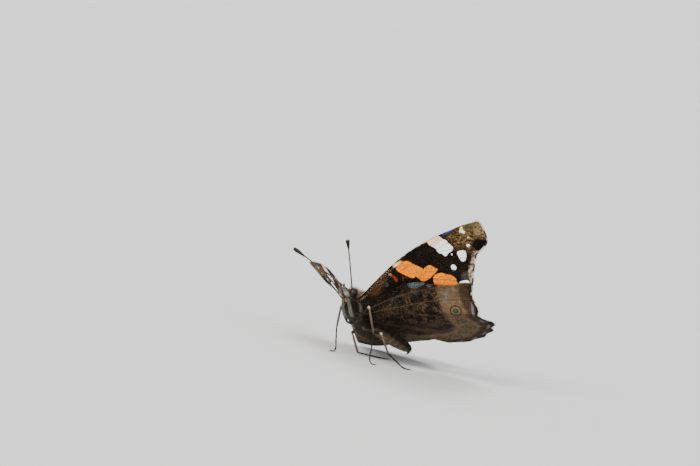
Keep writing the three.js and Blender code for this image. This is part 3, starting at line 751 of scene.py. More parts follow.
def hind_point(angle, inset):
    """A plan point at an angle about the hindwing's root, a given way in from the outer margin."""
    reach = hind_reach(angle) - inset
    return (HIND_ROOT[0] + reach * math.cos(math.radians(angle)),
            HIND_ROOT[1] + reach * math.sin(math.radians(angle)))


def hind_row(points, angles, inset, half):
    """A row of ovals inside the outer margin."""
    return lowest(*[oval_distance(points, hind_point(a, inset), half, math.radians(a)) for a in angles])


def hind_vein_ends():
    return [hind_point(angle, 0.1) for angle in HIND_VEIN_ANGLES]


def hind_fields(plan):
    points = plan[0]
    control, start = hind_outline()
    stop = len(control) - len(HIND_INNER)
    costa = smooth_path(control[:start], 60)
    termen = smooth_path(control[start:stop], 160)
    fields = edge_fields(plan, costa, termen, smooth_path(control[stop - 1:], 60))
    away = points - np.array(HIND_ROOT)
    fields["angle"] = np.degrees(np.arctan2(away[:, 1], away[:, 0]))
    fields["reach"] = np.linalg.norm(away, axis=1)
    fields["dots"] = hind_row(points, HIND_DOTS, 2.35, (0.62, 0.5))
    fields["eyes"] = hind_row(points, HIND_SPACES, 4.7, (1.05, 0.95))
    fields["blue"] = hind_row(points, [HIND_BLUE], 2.0, (1.0, 0.8))
    fields["lunules"] = hind_row(points, HIND_SPACES, 1.15, (0.28, 1.3))
    fields["pale"] = lowest(blob_distance(points, HIND_PALE), oval_distance(points, *HIND_PALE_DOT))
    fields["apex"] = blob_distance(points, HIND_APEX_MARK)
    fields["check"] = vein_checks(points, hind_vein_ends(), HIND_CHECK)
    return fields


# Wing materials

BLACK = (0.0024, 0.0019, 0.0016)
SOOT = (0.0065, 0.0046, 0.0034)
DARK_BROWN = (0.012, 0.008, 0.005)
BROWN = (0.045, 0.025, 0.012)
MARBLE_BROWN = (0.050, 0.029, 0.015)
OLIVE = (0.085, 0.068, 0.030)
RUST = (0.105, 0.042, 0.014)
SPECK = (0.22, 0.120, 0.045)
GOLD = (0.30, 0.175, 0.060)
TAN = (0.34, 0.235, 0.125)
SAND = (0.50, 0.37, 0.26)
ORANGE_UNDER = (0.77, 0.210, 0.0)
ORANGE_RIM = (0.88, 0.33, 0.0)
ORANGE_RED = (0.68, 0.105, 0.0)
ORANGE_LIGHT = (0.95, 0.43, 0.01)
ORANGE_DEEP = (0.46, 0.045, 0.003)
ORANGE_TOP = (0.64, 0.074, 0.003)
RED_DARK = (0.15, 0.030, 0.010)
WHITE = (0.92, 0.92, 0.91)
CREAM = (0.88, 0.58, 0.28)
BLUE = (0.010, 0.016, 0.030)
SPOT_BLUE = (0.065, 0.10, 0.30)
VIOLET = (0.030, 0.036, 0.18)
GREY = (0.060, 0.064, 0.076)
SCALE_SIZE = 6.5


class WingShader(Shader):
    """Wing scales laid over one another: jittered mark edges, scale rows and a fine bump."""

    def __init__(self, name):
        super().__init__(name)
        self.plan = self.field("plan", "Vector")
        self.outward = self.add("ShaderNodeSeparateXYZ", 0, {0: self.plan})
        self.jitter = self.times(self.math("SUBTRACT", self.noise(self.plan, 3.2, 3.0, 0.65), 0.5), 0.55)
        self.rows = self.stretch(self.plan, (1.0, 1.7, 1.0))
        self.grain = self.add("ShaderNodeSeparateColor", 0, {0: self.cells(self.rows, SCALE_SIZE)})
        self.mottle = self.noise(self.plan, 0.9, 4.0, 0.6)
        self.fine = self.noise(self.plan, 5.0, 3.0, 0.7)
        self.colour = BLACK

    def ground(self, first, second):
        self.colour = self.mix(self.span(self.mottle, 0.35, 0.7), first, second)

    def lay(self, colour, *shares):
        """Lay a colour over the ones before, by the product of its shares."""
        self.colour = self.mix(self.times(*shares), self.colour, colour)

    def patches(self, scale, low, high, to_low=0.0, to_high=1.0, detail=3.0, roughness=0.7):
        return self.span(self.noise(self.plan, scale, detail, roughness), low, high, to_low, to_high)

    def broken(self, low, high, to_low=0.0, to_high=1.0):
        return self.span(self.fine, low, high, to_low, to_high)

    def far(self, name, low, high, to_low=0.0, to_high=1.0):
        return self.span(self.field(name), low, high, to_low, to_high)

    def near(self, name, low, high, most=1.0):
        return self.far(name, low, high, most, 0.0)

    def jittered(self, name, jitter):
        return self.math("ADD", self.field(name), self.times(self.jitter, jitter))

    def mask(self, name, edge=0.0, soft=0.12, jitter=1.0):
        return self.span(self.jittered(name, jitter), edge - soft, edge + soft, 1.0, 0.0)

    def within(self, name, low, high, soft=0.15, jitter=1.0):
        value = self.jittered(name, jitter)
        rise = self.span(value, low - soft, low + soft)
        return self.times(rise, self.span(value, high - soft, high + soft, 1.0, 0.0))

    def line(self, value, middle, low, high):
        """A thin line where a noise passes a value."""
        return self.span(self.math("ABSOLUTE", self.math("SUBTRACT", value, middle)), low, high, 1.0, 0.0)

    def fringe(self, pale, reach):
        checks = self.mix(self.far("check", -0.35, -0.1), pale, SOOT)
        self.lay(checks, self.near("termen", 0.1, reach))

    def upper_orange(self, *shares):
        self.lay(self.mix(self.span(self.mottle, 0.4, 0.7, 0.0, 0.5), ORANGE_TOP, ORANGE_DEEP), *shares)

    def finish_scales(self):
        dusted = self.shade(self.colour, self.span(self.grain, 0.0, 1.0, 0.7, 1.3))
        relief = self.math("ADD", self.cells(self.rows, SCALE_SIZE, "Distance"), self.times(self.fine, 0.6))
        return self.finish(dusted, 0.7, self.bump(relief, 0.35, 0.00003), Specular_IOR_Level=0.03)


def fore_under_material():
    s = WingShader("forewing_under")
    s.ground(BLACK, SOOT)
    specks = s.patches(3.4, 0.53, 0.66, roughness=0.75)
    half = s.times(s.math("SUBTRACT", s.mottle, 0.5), 2.0)
    s.lay(BROWN, specks, s.span(half, -0.5, 0.5, 0.25, 0.75))
    s.lay(SPECK, s.patches(4.6, 0.60, 0.70, detail=2.0), s.far("mottle", 7.5, 0.5, 0.15, 0.8))
    dabs = s.span(s.noise(s.stretch(s.plan, (1.3, 1.0, 1.0)), 4.6, 2.0, 0.6), 0.56, 0.63)
    row = s.times(s.span(s.outward, 7.0, 10.0, 1.0, 0.0), s.far("costa", 0.22, 0.36), s.near("costa", 0.7, 0.95))
    s.lay((0.42, 0.30, 0.165), row, dabs, 0.85)
    s.lay(RUST, s.mask("rust", 0.1, 0.5, 1.4), s.broken(0.40, 0.60, 0.1, 0.9), 0.6)
    s.lay(SPECK, s.mask("rust", 0.5, 0.6, 1.4), dabs, 0.3)
    # The mottled tip
    tip = s.near("mottle", -1.6, 0.9)
    coarse = s.patches(1.9, 0.40, 0.62, detail=2.0, roughness=0.6)
    s.lay((0.075, 0.045, 0.020), tip, s.span(coarse, 0.0, 1.0, 0.25, 0.8))
    s.lay(GOLD, tip, coarse, s.broken(0.44, 0.56))
    s.lay(OLIVE, s.mask("olive", 0.1, 0.4, 1.5), s.broken(0.36, 0.60, 0.9, 0.5))
    s.lay(TAN, tip, s.mask("light", 0.2, 0.7, 1.6), s.patches(2.6, 0.46, 0.58, 0.05, 0.9))
    s.lay(DARK_BROWN, tip, s.patches(3.1, 0.56, 0.64, detail=2.0, roughness=0.6), 0.85)
    s.lay((0.12, 0.105, 0.092), s.mask("dust", 0.1, 0.6, 1.5), s.broken(0.42, 0.62, 0.1, 0.75))
    s.lay(BLACK, s.mask("dark", 0.0, 0.3, 2.0), 0.92)
    s.lay(SAND, s.mask("tan", 0.1, 0.25, 1.6), s.patches(1.4, 0.42, 0.56, 0.15), s.broken(0.34, 0.56, 0.5, 0.95))
    # The inner half
    s.lay((0.014, 0.010, 0.008), s.near("hinge", 0.6, 2.6, 0.7), s.broken(0.3, 0.6, 0.5))
    s.lay(BLUE, s.mask("blue", -0.05, 0.18), s.broken(0.40, 0.56, 0.1, 0.75))
    s.lay(GREY, s.mask("grey", 0.0, 0.10), s.broken(0.38, 0.56, 0.15, 0.8))
    s.lay(VIOLET, s.mask("violet", 0.0, 0.12, 0.5))
    # The orange band and the marks over it
    orange = s.mix(s.far("orange", -0.75, 0.0, 0.0, 0.55), ORANGE_UNDER, ORANGE_RIM)
    orange = s.mix(s.patches(2.2, 0.42, 0.56, 0.0, 0.85), orange, ORANGE_RED)
    orange = s.mix(s.span(specks, 0.2, 0.9, 0.0, 0.75), orange, ORANGE_LIGHT)
    s.lay(orange, s.mask("orange", 0.0, 0.10, 0.8))
    s.lay(RED_DARK, s.mask("red", 0.0, 0.14), s.broken(0.34, 0.56, 0.45, 0.95))
    s.lay((0.52, 0.24, 0.11), s.mask("tip_dot", 0.0, 0.12), 0.85)
    s.lay(CREAM, s.mask("cream", 0.0, 0.15, 0.7))
    s.lay(s.mix(s.far("costa", 0.3, 2.2), CREAM, WHITE), s.mask("white", 0.0, 0.09, 0.7))
    s.lay(SOOT, s.near("vein", 0.04, 0.14), 0.4)
    pale = s.patches(1.1, 0.42, 0.6, detail=2.0, roughness=0.5)
    s.lay((0.36, 0.27, 0.19), s.near("costa", 0.08, 0.22), s.span(s.outward, 2.0, 6.0), pale, 0.8)
    s.fringe(TAN, 0.42)
    return s.finish_scales()


def fore_upper_material():
    s = WingShader("forewing_upper")
    s.ground(BLACK, (0.016, 0.011, 0.009))
    s.lay(BROWN, s.span(s.outward, 5.0, 15.0, 0.9, 0.0), s.broken(0.2, 0.7, 0.6))
    s.lay((0.16, 0.10, 0.05), s.span(s.outward, 2.0, 9.0, 0.55, 0.0), s.broken(0.4, 0.7))
    s.upper_orange(s.mask("band", 0.0, 0.10, 1.3))
    s.lay(WHITE, s.mask("white", -0.06, 0.09, 0.8))
    s.lay(SOOT, s.near("vein", 0.05, 0.2), 0.5)
    s.fringe((0.62, 0.58, 0.52), 0.4)
    return s.finish_scales()


def hind_upper_material():
    s = WingShader("hindwing_upper")
    s.ground((0.014, 0.010, 0.008), (0.024, 0.016, 0.011))
    s.lay(BROWN, s.near("reach", 3.0, 15.0, 0.95), s.broken(0.25, 0.7, 0.55))
    s.lay((0.10, 0.068, 0.042), s.near("hinge", 0.5, 4.0, 0.8))
    s.lay((0.11, 0.085, 0.07), s.near("costa", 2.0, 4.5), 0.7)
    s.upper_orange(s.within("termen", 0.95, 3.9, 0.14), s.far("angle", 8.0, 3.5))
    s.lay(BLACK, s.mask("dots", 0.0, 0.10))
    s.lay(BLACK, s.mask("blue", 0.42, 0.12))
    s.lay(SPOT_BLUE, s.mask("blue", -0.05, 0.16), 0.9)
    s.lay(SOOT, s.near("vein", 0.05, 0.2), 0.6)
    s.fringe((0.66, 0.62, 0.55), 0.4)
    return s.finish_scales()


def hind_under_material():
    """Marbled browns crossed by fine pale lines, with blurred eyespots before a bronze border."""
    s = WingShader("hindwing_under")
    drift = s.add("ShaderNodeTexNoise", "Color", {"Vector": s.plan, "Scale": 0.30, "Detail": 2.0})
    wide = s.add("ShaderNodeVectorMath", 0, {0: drift, "Scale": 5.0}, operation="SCALE")
    warp = s.add("ShaderNodeVectorMath", 0, {0: s.plan, 1: wide}, operation="ADD")
    marble = s.noise(warp, 0.55, 4.0, 0.6)
    s.colour = s.mix(s.span(marble, 0.42, 0.58), (0.0038, 0.0029, 0.0024), MARBLE_BROWN)
    s.lay((0.009, 0.006, 0.005), s.span(s.noise(warp, 0.9, 3.0, 0.55), 0.50, 0.56), 0.8)
    light = s.patches(1.3, 0.56, 0.66, roughness=0.65)
    s.lay((0.135, 0.090, 0.052), light, s.span(marble, 0.46, 0.58), 0.6)
    s.lay(BLACK, s.near("reach", 5.0, 13.0, 0.8), s.broken(0.3, 0.6, 1.0, 0.7))
    rings = s.noise(warp, 0.42, 1.5, 0.5)
    gaps = s.patches(1.9, 0.46, 0.62, 0.0, 0.75)
    s.lay((0.085, 0.066, 0.055), s.line(rings, 0.5, 0.003, 0.014), s.far("reach", 13.0, 17.0, 1.0, 0.25), gaps)
    s.lay((0.070, 0.053, 0.043), s.line(rings, 0.565, 0.004, 0.012), s.far("reach", 12.0, 16.0, 1.0, 0.15), gaps, 0.7)
    # The paler outer band with its eyespots
    outer = s.within("termen", 2.6, 7.0, 0.7, 3.2)
    s.lay(s.mix(s.broken(0.36, 0.62), (0.050, 0.030, 0.014), (0.17, 0.112, 0.058)), outer, 0.78)
    s.lay((0.12, 0.112, 0.108), outer, s.patches(0.8, 0.52, 0.62, detail=2.0, roughness=0.5), 0.5)
    s.lay((0.012, 0.008, 0.006), s.mask("eyes", 0.22, 0.18), 0.85)
    s.lay((0.19, 0.115, 0.042), s.mask("eyes", -0.10, 0.18), 0.7)
    s.lay(BLACK, s.mask("eyes", -0.40, 0.15))
    s.lay((0.040, 0.075, 0.085), s.mask("eyes", -0.62, 0.3), 0.75)
    # The border
    s.lay((0.032, 0.020, 0.012), s.within("termen", 0.9, 2.4, 0.25), 0.7)
    s.lay((0.12, 0.115, 0.15), s.mask("lunules", 0.0, 0.12), 0.75)
    s.lay(BLACK, s.within("termen", 0.42, 0.72, 0.08, 0.3), 0.8)
    # The front edge, with a black strip of painted shade along it towards the root
    s.lay(BLACK, s.near("costa", 0.4, 2.6, 0.9), s.span(s.outward, 13.5, 17.0, 1.0, 0.25))
    # The real pale patch, coloured a dark blue-grey that is painted shade
    s.lay((0.058, 0.074, 0.086), s.mask("pale", 0.0, 0.22, 1.6), s.patches(2.4, 0.38, 0.58, 0.25, 0.9))
    s.lay(WHITE, s.mask("apex", 0.0, 0.12, 0.6))
    s.lay((0.17, 0.11, 0.055), s.patches(3.6, 0.56, 0.68, roughness=0.75), 0.5)
    s.lay((0.055, 0.036, 0.022), s.near("vein", 0.04, 0.16), 0.6)
    s.fringe((0.52, 0.46, 0.38), 0.36)
    return s.finish_scales()


# Body materials: each tuft and each skin carries its own colour


def coat_material(name, roughness=0.75):
    s = Shader(name)
    # Painted shade at each tuft's root and a painted highlight at its tip
    lit = s.shade(s.field("coat", "Vector"), s.span(s.field("tip"), 0.0, 1.0, 0.72, 1.22))
    lit = s.shade(lit, s.span(s.noise(s.place(), 4200.0), 0.25, 0.75, 0.82, 1.16))
    return s.finish(lit, roughness, None, Specular_IOR_Level=0.08)


def skin_material(name, scale=3000.0, strength=0.5, roughness=0.6):
    """Skin under a coat, with the coat's markings and a fine nap of bump."""
    s = Shader(name)
    grain = s.noise(s.place(), scale, 4.0, 0.7)
    lit = s.shade(s.field("coat", "Vector"), s.span(grain, 0.3, 0.7, 0.7, 1.25))
    return s.finish(lit, roughness, s.bump(grain, strength, 0.00006), Specular_IOR_Level=0.1)


def eye_material():
    s = Shader("compound_eye")
    facets = s.cells(s.place(), 16000.0, "Distance")
    patches = s.span(s.noise(s.place(), 1500.0, 3.0), 0.35, 0.7)
    deep = s.mix(patches, (0.008, 0.0045, 0.0035), (0.022, 0.012, 0.009))
    colour = s.mix(s.span(s.field("rim"), 0.78, 0.98), deep, (0.40, 0.27, 0.22))
    return s.finish(colour, 0.42, s.bump(facets, 0.3, 0.00001), Specular_IOR_Level=0.2)


def feeler_material():
    s = Shader("feeler")
    share = s.field("share")
    rings = s.math("FRACT", s.times(share, FEELER_RINGS))
    band = s.times(s.span(rings, 0.78, 0.86), s.span(share, 0.78, 0.72), 0.7)
    dark = s.mix(s.noise(s.place(), 2500.0), (0.004, 0.003, 0.0026), (0.017, 0.0115, 0.008))
    colour = s.mix(band, dark, (0.26, 0.24, 0.20))
    colour = s.mix(s.span(share, 0.972, 0.984), colour, (0.62, 0.47, 0.26))
    return s.finish(colour, 0.55, s.bump(s.noise(s.place(), 9000.0), 0.3, 0.00002), Specular_IOR_Level=0.15)


def tongue_material():
    s = Shader("tongue")
    rings = s.math("FRACT", s.times(s.field("share"), COIL_RINGS))
    colour = s.mix(s.span(rings, 0.55, 0.9), (0.040, 0.022, 0.012), (0.014, 0.008, 0.005))
    colour = s.mix(s.noise(s.place(), 3500.0, 3.0), colour, (0.055, 0.030, 0.016))
    return s.finish(colour, 0.4, s.bump(rings, 0.3, 0.00002))


# Trunk: one skin from the tip of the abdomen to the face

ABDOMEN_RINGS = 8
TRUNK_STATIONS = 190
TRUNK_SIDES = 72
NECK_X = 4.15
STRIPE = np.array([[4.0, 0.1], [1.1, -2.5]])
STRIPE_REACH = 0.34
CREST_LINE = ([-1.0, 1.5, 2.6, 4.84, 5.87, 6.2], [2.9, 3.25, 3.4, 2.65, 1.75, 1.5])


def swell(x, centre, half, fullest, blunt):
    """Relative thickness of a rounded body at a place along X."""
    share = (x - centre) / half
    peak = 2 * fullest - 1
    bow = np.where(share < peak, (peak - share) / (1 + peak), (share - peak) / (1 - peak))
    return np.clip(1 - np.clip(bow, 0, 1) ** 2, 0, 1) ** blunt


def trunk_skin():
    """Points, faces and fields of the skin, a coat's depth inside the solids."""
    abdomen_half = ABDOMEN_LENGTH / 2 * math.cos(ABDOMEN_RISE)
    abdomen_x = ABDOMEN_ROOT[0] - abdomen_half
    tail, face = abdomen_x - abdomen_half + 0.3, HEAD_CENTRE[0] + HEAD_HALF[0] - 0.12
    even = np.linspace(0, 1, TRUNK_STATIONS)
    x = tail + (face - tail) * (0.55 * even + 0.45 * (1 - np.cos(math.pi * even)) / 2)
    abdomen = swell(x, abdomen_x, abdomen_half - 0.3, 0.62, 0.42) * (ABDOMEN_RADIUS - 0.28)
    rings = (x - tail) / (ABDOMEN_ROOT[0] - tail) * ABDOMEN_RINGS
    notch = np.abs(np.sin(math.pi * rings)) ** 0.4
    abdomen = abdomen * np.where(x < ABDOMEN_ROOT[0] - 0.6, 0.955 + 0.045 * notch, 1)
    thorax = swell(x, THORAX_CENTRE[0], THORAX_HALF[0] - COAT_DEPTH * 0.7, 0.58, 0.42)
    head = swell(x, HEAD_CENTRE[0], HEAD_HALF[0] - 0.12, 0.5, 0.5)
    wide = [abdomen, thorax * (THORAX_HALF[1] - COAT_DEPTH), head * (HEAD_HALF[1] - 0.2)]
    high = [abdomen, thorax * (THORAX_HALF[2] - COAT_DEPTH), head * (HEAD_HALF[2] - 0.2)]
    power = 5
    width = sum(part**power for part in wide) ** (1 / power)
    height = sum(part**power for part in high) ** (1 / power)
    weights = [part**power + 1e-9 for part in high]
    centres = [abdomen_axis(x), THORAX_CENTRE[2] + 0 * x, HEAD_CENTRE[2] + 0 * x]
    middle = sum(w * c for w, c in zip(weights, centres)) / sum(weights)
    kernel = np.hanning(11) / np.hanning(11).sum()
    middle = np.convolve(np.pad(middle, 5, mode="edge"), kernel, mode="valid")
    path = np.stack([x, 0 * x, middle], 1)
    points, faces, fields = tube(path, np.ones(len(x)), TRUNK_SIDES)
    turns = np.linspace(0, 2 * math.pi, TRUNK_SIDES, endpoint=False)
    ring = np.stack([0 * turns, -np.sin(turns), np.cos(turns)], 1)
    body = [c + ring * np.array([0, w, h]) for c, w, h in zip(path, width, height)]
    points[:len(x) * TRUNK_SIDES] = np.concatenate(body)
    fields["coat"] = trunk_colour(points)
    return points, faces, fields


def ramp(value):
    return np.clip(value, 0, 1)


def blend_colour(share, a, b):
    return np.asarray(a) * (1 - share[:, None]) + np.asarray(b) * share[:, None]


def abdomen_axis(x):
    return ABDOMEN_ROOT[2] + (ABDOMEN_ROOT[0] - x) * math.tan(ABDOMEN_RISE)


def trunk_colour(points):
    """Colours of the trunk, the same on skin and coat: the pinkish top of the thorax and head is painted light, and
    the near-black flanks of the thorax are painted shade.
    """
    x, y, z = points.T
    middle = THORAX_CENTRE[2]
    # Painted light: the top of the thorax turns pale pink towards the front
    top = blend_colour(ramp((x - 0.6) / 2.2), (0.060, 0.039, 0.023), (0.40, 0.275, 0.215))
    # Painted shade: the flanks of the thorax below the top are near black
    thorax = blend_colour(ramp((z - middle - 0.2) / 1.3), (0.013, 0.0095, 0.007), top)
    thorax = blend_colour(ramp((middle - 1.5 - z) / 1.0), thorax, (0.058, 0.058, 0.045))
    gap = line_distance(points[:, [0, 2]], STRIPE)
    stripe = ramp((STRIPE_REACH - gap) / 0.15) * (np.abs(y) > 0.9)
    thorax = blend_colour(stripe, thorax, (0.115, 0.120, 0.105))
    low = ramp((abdomen_axis(x) - 0.1 - z) / 0.9)
    length = (ABDOMEN_ROOT[0] - x) / (ABDOMEN_LENGTH * math.cos(ABDOMEN_RISE)) * ABDOMEN_RINGS
    edge = np.exp(-((np.mod(length, 1) - 0.93) / 0.09) ** 2)
    abdomen = blend_colour(low, (0.022, 0.0145, 0.010), (0.125, 0.092, 0.060))
    abdomen = abdomen * (1 + edge * (0.9 - 0.6 * low))[:, None]
    head = blend_colour(ramp(-z / 0.8), (0.060, 0.042, 0.031), (0.115, 0.113, 0.090))
    # Painted light: the top of the head is the same pale pink
    head = blend_colour(ramp((z - 0.55) / 0.35), head, (0.40, 0.25, 0.19))
    colour = blend_colour(ramp((ABDOMEN_ROOT[0] - 0.2 - x) / 1.2), thorax, abdomen)
    return blend_colour(ramp((x - NECK_X) / 0.35), colour, head)


# Each coat: name, count, where along X, lengths, widths, and how steeply its tufts rise at root and tip
TRUNK_COATS = [
    ("coat_thorax", 15000, (-2.4, NECK_X), (0.60, 0.95), (0.06, 0.10), (0.55, 0.18)),
    ("coat_abdomen", 14000, (-99, -2.0), (0.42, 0.70), (0.075, 0.12), (0.22, 0.04)),
    ("coat_head", 5200, (NECK_X - 0.1, 99), (0.26, 0.44), (0.04, 0.065), (0.75, 0.35)),
]


def build_trunk():
    points, faces, fields = trunk_skin()
    skin = skin_material("trunk_skin")
    new_piece("body_skin", points, faces, "fur", [skin], ("thorax", "abdomen", "head"), fields)
    fur = coat_material("fur")
    for name, count, (first, last), lengths, widths, rise in TRUNK_COATS:
        roots, normals, at = scatter(
            points, faces, count, fields, lambda c: ((c[:, 0] > first) & (c[:, 0] < last)) + 1e-9)
        lie = np.tile([-1.0, 0.0, 0.0], (count, 1))
        if name == "coat_head":
            face = ramp((roots[:, 0] - 5.0) / 0.6)[:, None]
            lie = lie * (1 - face) + np.array([0.5, 0.0, 0.7]) * face
        lie = lie + RNG.normal(0, 0.16, (count, 3))
        lie = lie - normals * (lie * normals).sum(axis=1, keepdims=True)
        length = RNG.uniform(0.8, 1.0, count) * RNG.uniform(*lengths, count)
        tint = trunk_colour(roots) * spread(count)
        if name != "coat_abdomen":
            crest = ramp((normals[:, 2] - 0.45) / 0.35) * ramp((roots[:, 0] + 0.5) / 2.5)
            height = np.interp(roots[:, 0], *CREST_LINE) - roots[:, 2]
            lie = unit(lie) * (1 - 0.35 * crest)[:, None] + normals * crest[:, None]
            length = np.maximum(length, crest * height * RNG.uniform(0.75, 1.05, count))
            folded = roots * [1, 0, 1] + np.abs(roots) * [0, 1, 0]
            socket = np.linalg.norm((folded - EYE_CENTRE) / EYE_HALF, axis=1)
            rim = ramp((1.75 - socket) / 0.2) * ramp((roots[:, 2] - 0.2) / 0.4)
            tint = blend_colour(rim * 0.85, tint, (0.78, 0.60, 0.50))
        if name == "coat_thorax":
            gold = RNG.random(count) < 0.16
            tint[gold] = tint[gold] * np.array([1.7, 1.35, 1.0])
        thick = RNG.uniform(*widths, count)
        tufts(name, roots, normals, lie, length, thick, "fur", rise, {"coat": tint}, map_spots(at), fur)


# Head parts and brush legs


def build_eyes():
    material = eye_material()
    for side_name, side in SIDES.items():
        centre = mirrored(EYE_CENTRE, side)
        points, faces, _ = ellipsoid(centre, EYE_HALF)
        facing = unit((points - centre) / EYE_HALF) @ unit(np.array([0.25, side, 0.1]))
        fields = {"rim": (1 - facing) / 1.42}
        new_piece(f"eye_globe_{side_name}", points, faces, "eye", [material], [f"eye_{side_name}"], fields)


def build_feelers():
    material = feeler_material()
    club = 1 - CLUB_LENGTH / FEELER_LENGTH
    stations = [0, 0.015, 0.035, 0.05, club - 0.02, club + 0.05, club + 0.13, 0.975, 1]
    radii = [0.2, 0.24, 0.19, 0.135, 0.125, 0.27, 0.40, 0.30, 0.02]
    share = np.linspace(0, 1, 280)
    radius = np.interp(share, stations, radii) * (1 + 0.07 * np.abs(np.sin(math.pi * share * FEELER_RINGS)))
    bend = 0.10 * np.sin(math.pi * share)[:, None] * np.array([0, 0, 1.0])
    flat = math.cos(FEELER_LIFT)
    along = np.array([flat * math.cos(FEELER_SPREAD), flat * math.sin(FEELER_SPREAD), math.sin(FEELER_LIFT)])
    for side_name, side in SIDES.items():
        reach = share[:, None] * (FEELER_LENGTH + 0.2) - 0.25
        path = mirrored(FEELER_ROOT, side) + mirrored(along, side) * reach + bend
        points, faces, fields = tube(path, radius, 14)
        new_piece(f"feeler_{side_name}", points, faces, "feeler", [material], [f"antenna_{side_name}"], fields)


def palp_colour(share):
    colour = blend_colour(ramp(1 - np.abs(share - 0.28) / 0.2), (0.125, 0.125, 0.098), (0.30, 0.285, 0.235))
    return blend_colour(ramp((share - 0.62) / 0.3), colour, (0.055, 0.042, 0.032))


def build_palps():
    skin, fur = skin_material("palp_skin"), coat_material("palp_fur")
    for side_name, side in SIDES.items():
        path = smooth_path(mirrored(PALP_PATH, side), 60)
        radius = np.interp(np.linspace(0, 1, 60), [0, 0.3, 0.65, 0.9, 1], [0.22, 0.29, 0.23, 0.13, 0.03])
        points, faces, fields = tube(path, radius, 24)
        fields["coat"] = palp_colour(fields["share"])
        new_piece(f"palp_skin_{side_name}", points, faces, "palp", [skin], [f"palp_{side_name}"], fields)
        roots, normals, lie, at = strand_roots(path, (points, faces, fields), PALP_TUFTS, 0.14)
        tint = palp_colour(at["share"]) * spread(PALP_TUFTS)
        length = RNG.uniform(0.26, 0.44, PALP_TUFTS) * (1 - 0.35 * at["share"])
        tufts(f"coat_palp_{side_name}", roots, normals, lie, length, length * 0.2, "palp", (0.36, 0.08),
              {"coat": tint}, map_spots(at), fur)


def build_tongue():
    share = np.linspace(0, 1, 160)
    turns = COIL_START - 2 * math.pi * COIL_TURNS * share
    radius = COIL_RADIUS * (1 - 0.72 * share)
    lift = np.maximum(0, 0.12 - share) * 3.5
    up = COIL_CENTRE[2] - radius * np.sin(turns) + lift
    path = np.stack([COIL_CENTRE[0] - radius * np.cos(turns), 0 * share, up], 1)
    ripple = 1 + 0.06 * np.abs(np.sin(math.pi * share * COIL_RINGS))
    size = 0.105 * ripple * np.interp(share, [0, 0.9, 1], [1.15, 0.8, 0.5])
    points, faces, fields = tube(path, size, 14, twist_up=(0, 1, 0))
    new_piece("tongue", points, faces, "tongue", [tongue_material()], ["proboscis"], fields)


def build_brush_legs():
    """The small forelegs folded on the breast, thick with hair."""
    skin, fur = skin_material("brush_skin"), coat_material("brush_fur")
    for side_name, side in SIDES.items():
        path = smooth_path(mirrored(FORELEG_PATH, side), 60)
        radius = np.interp(np.linspace(0, 1, 60), [0, 0.1, 0.5, 0.9, 1], [0.10, 0.17, 0.15, 0.09, 0.02])
        points, faces, fields = tube(path, radius, 18)
        fields["coat"] = np.tile([0.118, 0.118, 0.092], (len(points), 1))
        new_piece(f"brush_leg_{side_name}", points, faces, "palp", [skin], [f"foreleg_{side_name}"], fields)
        roots, normals, lie, at = strand_roots(path, (points, faces, fields), BRUSH_TUFTS, 0.16)
        tint = at["coat"] * spread(BRUSH_TUFTS)
        lengths, widths = RNG.uniform(0.40, 0.70, BRUSH_TUFTS), RNG.uniform(0.04, 0.07, BRUSH_TUFTS)
        tufts(f"coat_brush_{side_name}", roots, normals, lie, lengths, widths, "palp", (0.55, 0.12),
              {"coat": tint}, map_spots(at), fur)


# Walking legs

LEG_RINGS = 90
LEG_STATIONS = [0, 0.35, 0.75, 1]
# Each limb: radii at the stations, tufts, and the length of its tufts
LIMBS = {
    "coxa": ([0.34, 0.37, 0.30, 0.17], 420, 1.35),
    "femur": ([0.18, 0.30, 0.26, 0.17], 900, 1.0),
    "tibia": ([0.15, 0.195, 0.18, 0.14], 750, 0.75),
    "tarsus": ([0.13, 0.135, 0.125, 0.09], 420, 0.5),
}
LEG_TAN = np.array([0.155, 0.115, 0.082])
# Painted highlight on the knee
KNEE_HIGHLIGHT = np.array([0.66, 0.57, 0.46])
LEG_DARK = np.array([0.014, 0.010, 0.008])
SPURS = 12


def leg_points(name):
    """Hip, coxa, knee, ankle, heel and toe in the body frame."""
    leg = LEGS[name]
    hip, coxa, knee, ankle = (np.array(leg[k]) for k in ("hip", "coxa", "knee", "ankle"))
    foot = np.array([*leg["foot"], 0.0]) + BODY_POSITION * [1, 1, 0]
    run = (to_world(ankle) / MM - foot) * [1, 1, 0]
    lift = np.array([0, 0, TOE_LIFT])
    return hip, coxa, knee, ankle, to_body(foot + unit(run) * TOE_RUN + lift), to_body(foot + lift)


def leg_colour(limb, share):
    """Grey-tan scales with a dark foot; the pale knee is a painted highlight, and the near-black femur is partly its
    own dark colour and partly painted shade.
    """
    if limb == "coxa":
        return np.tile([0.040, 0.036, 0.028], (len(share), 1))
    # The femur: near black, its own dark brown-grey deepened by painted shade, with a painted highlight at the knee
    # end
    if limb == "femur":
        return blend_colour(ramp((share - 0.88) / 0.08), (0.026, 0.020, 0.015), KNEE_HIGHLIGHT)
    if limb == "tibia":
        along = share[:, None]
        shin = LEG_TAN * (1 - 0.45 * along) + 0.3 * LEG_DARK * along
        return blend_colour(ramp((0.07 - share) / 0.05), shin, KNEE_HIGHLIGHT)
    return np.tile(LEG_DARK, (len(share), 1))


def limb_path(limb, joints):
    reach = np.linspace(0, 1, LEG_RINGS)
    if limb != "tarsus":
        return joints[0] + (joints[1] - joints[0]) * reach[:, None]
    ankle, heel, toe = joints
    return smooth_path([ankle, (ankle + heel) / 2, heel * 0.9 + ankle * 0.1, heel * 0.7 + toe * 0.3, toe], LEG_RINGS)


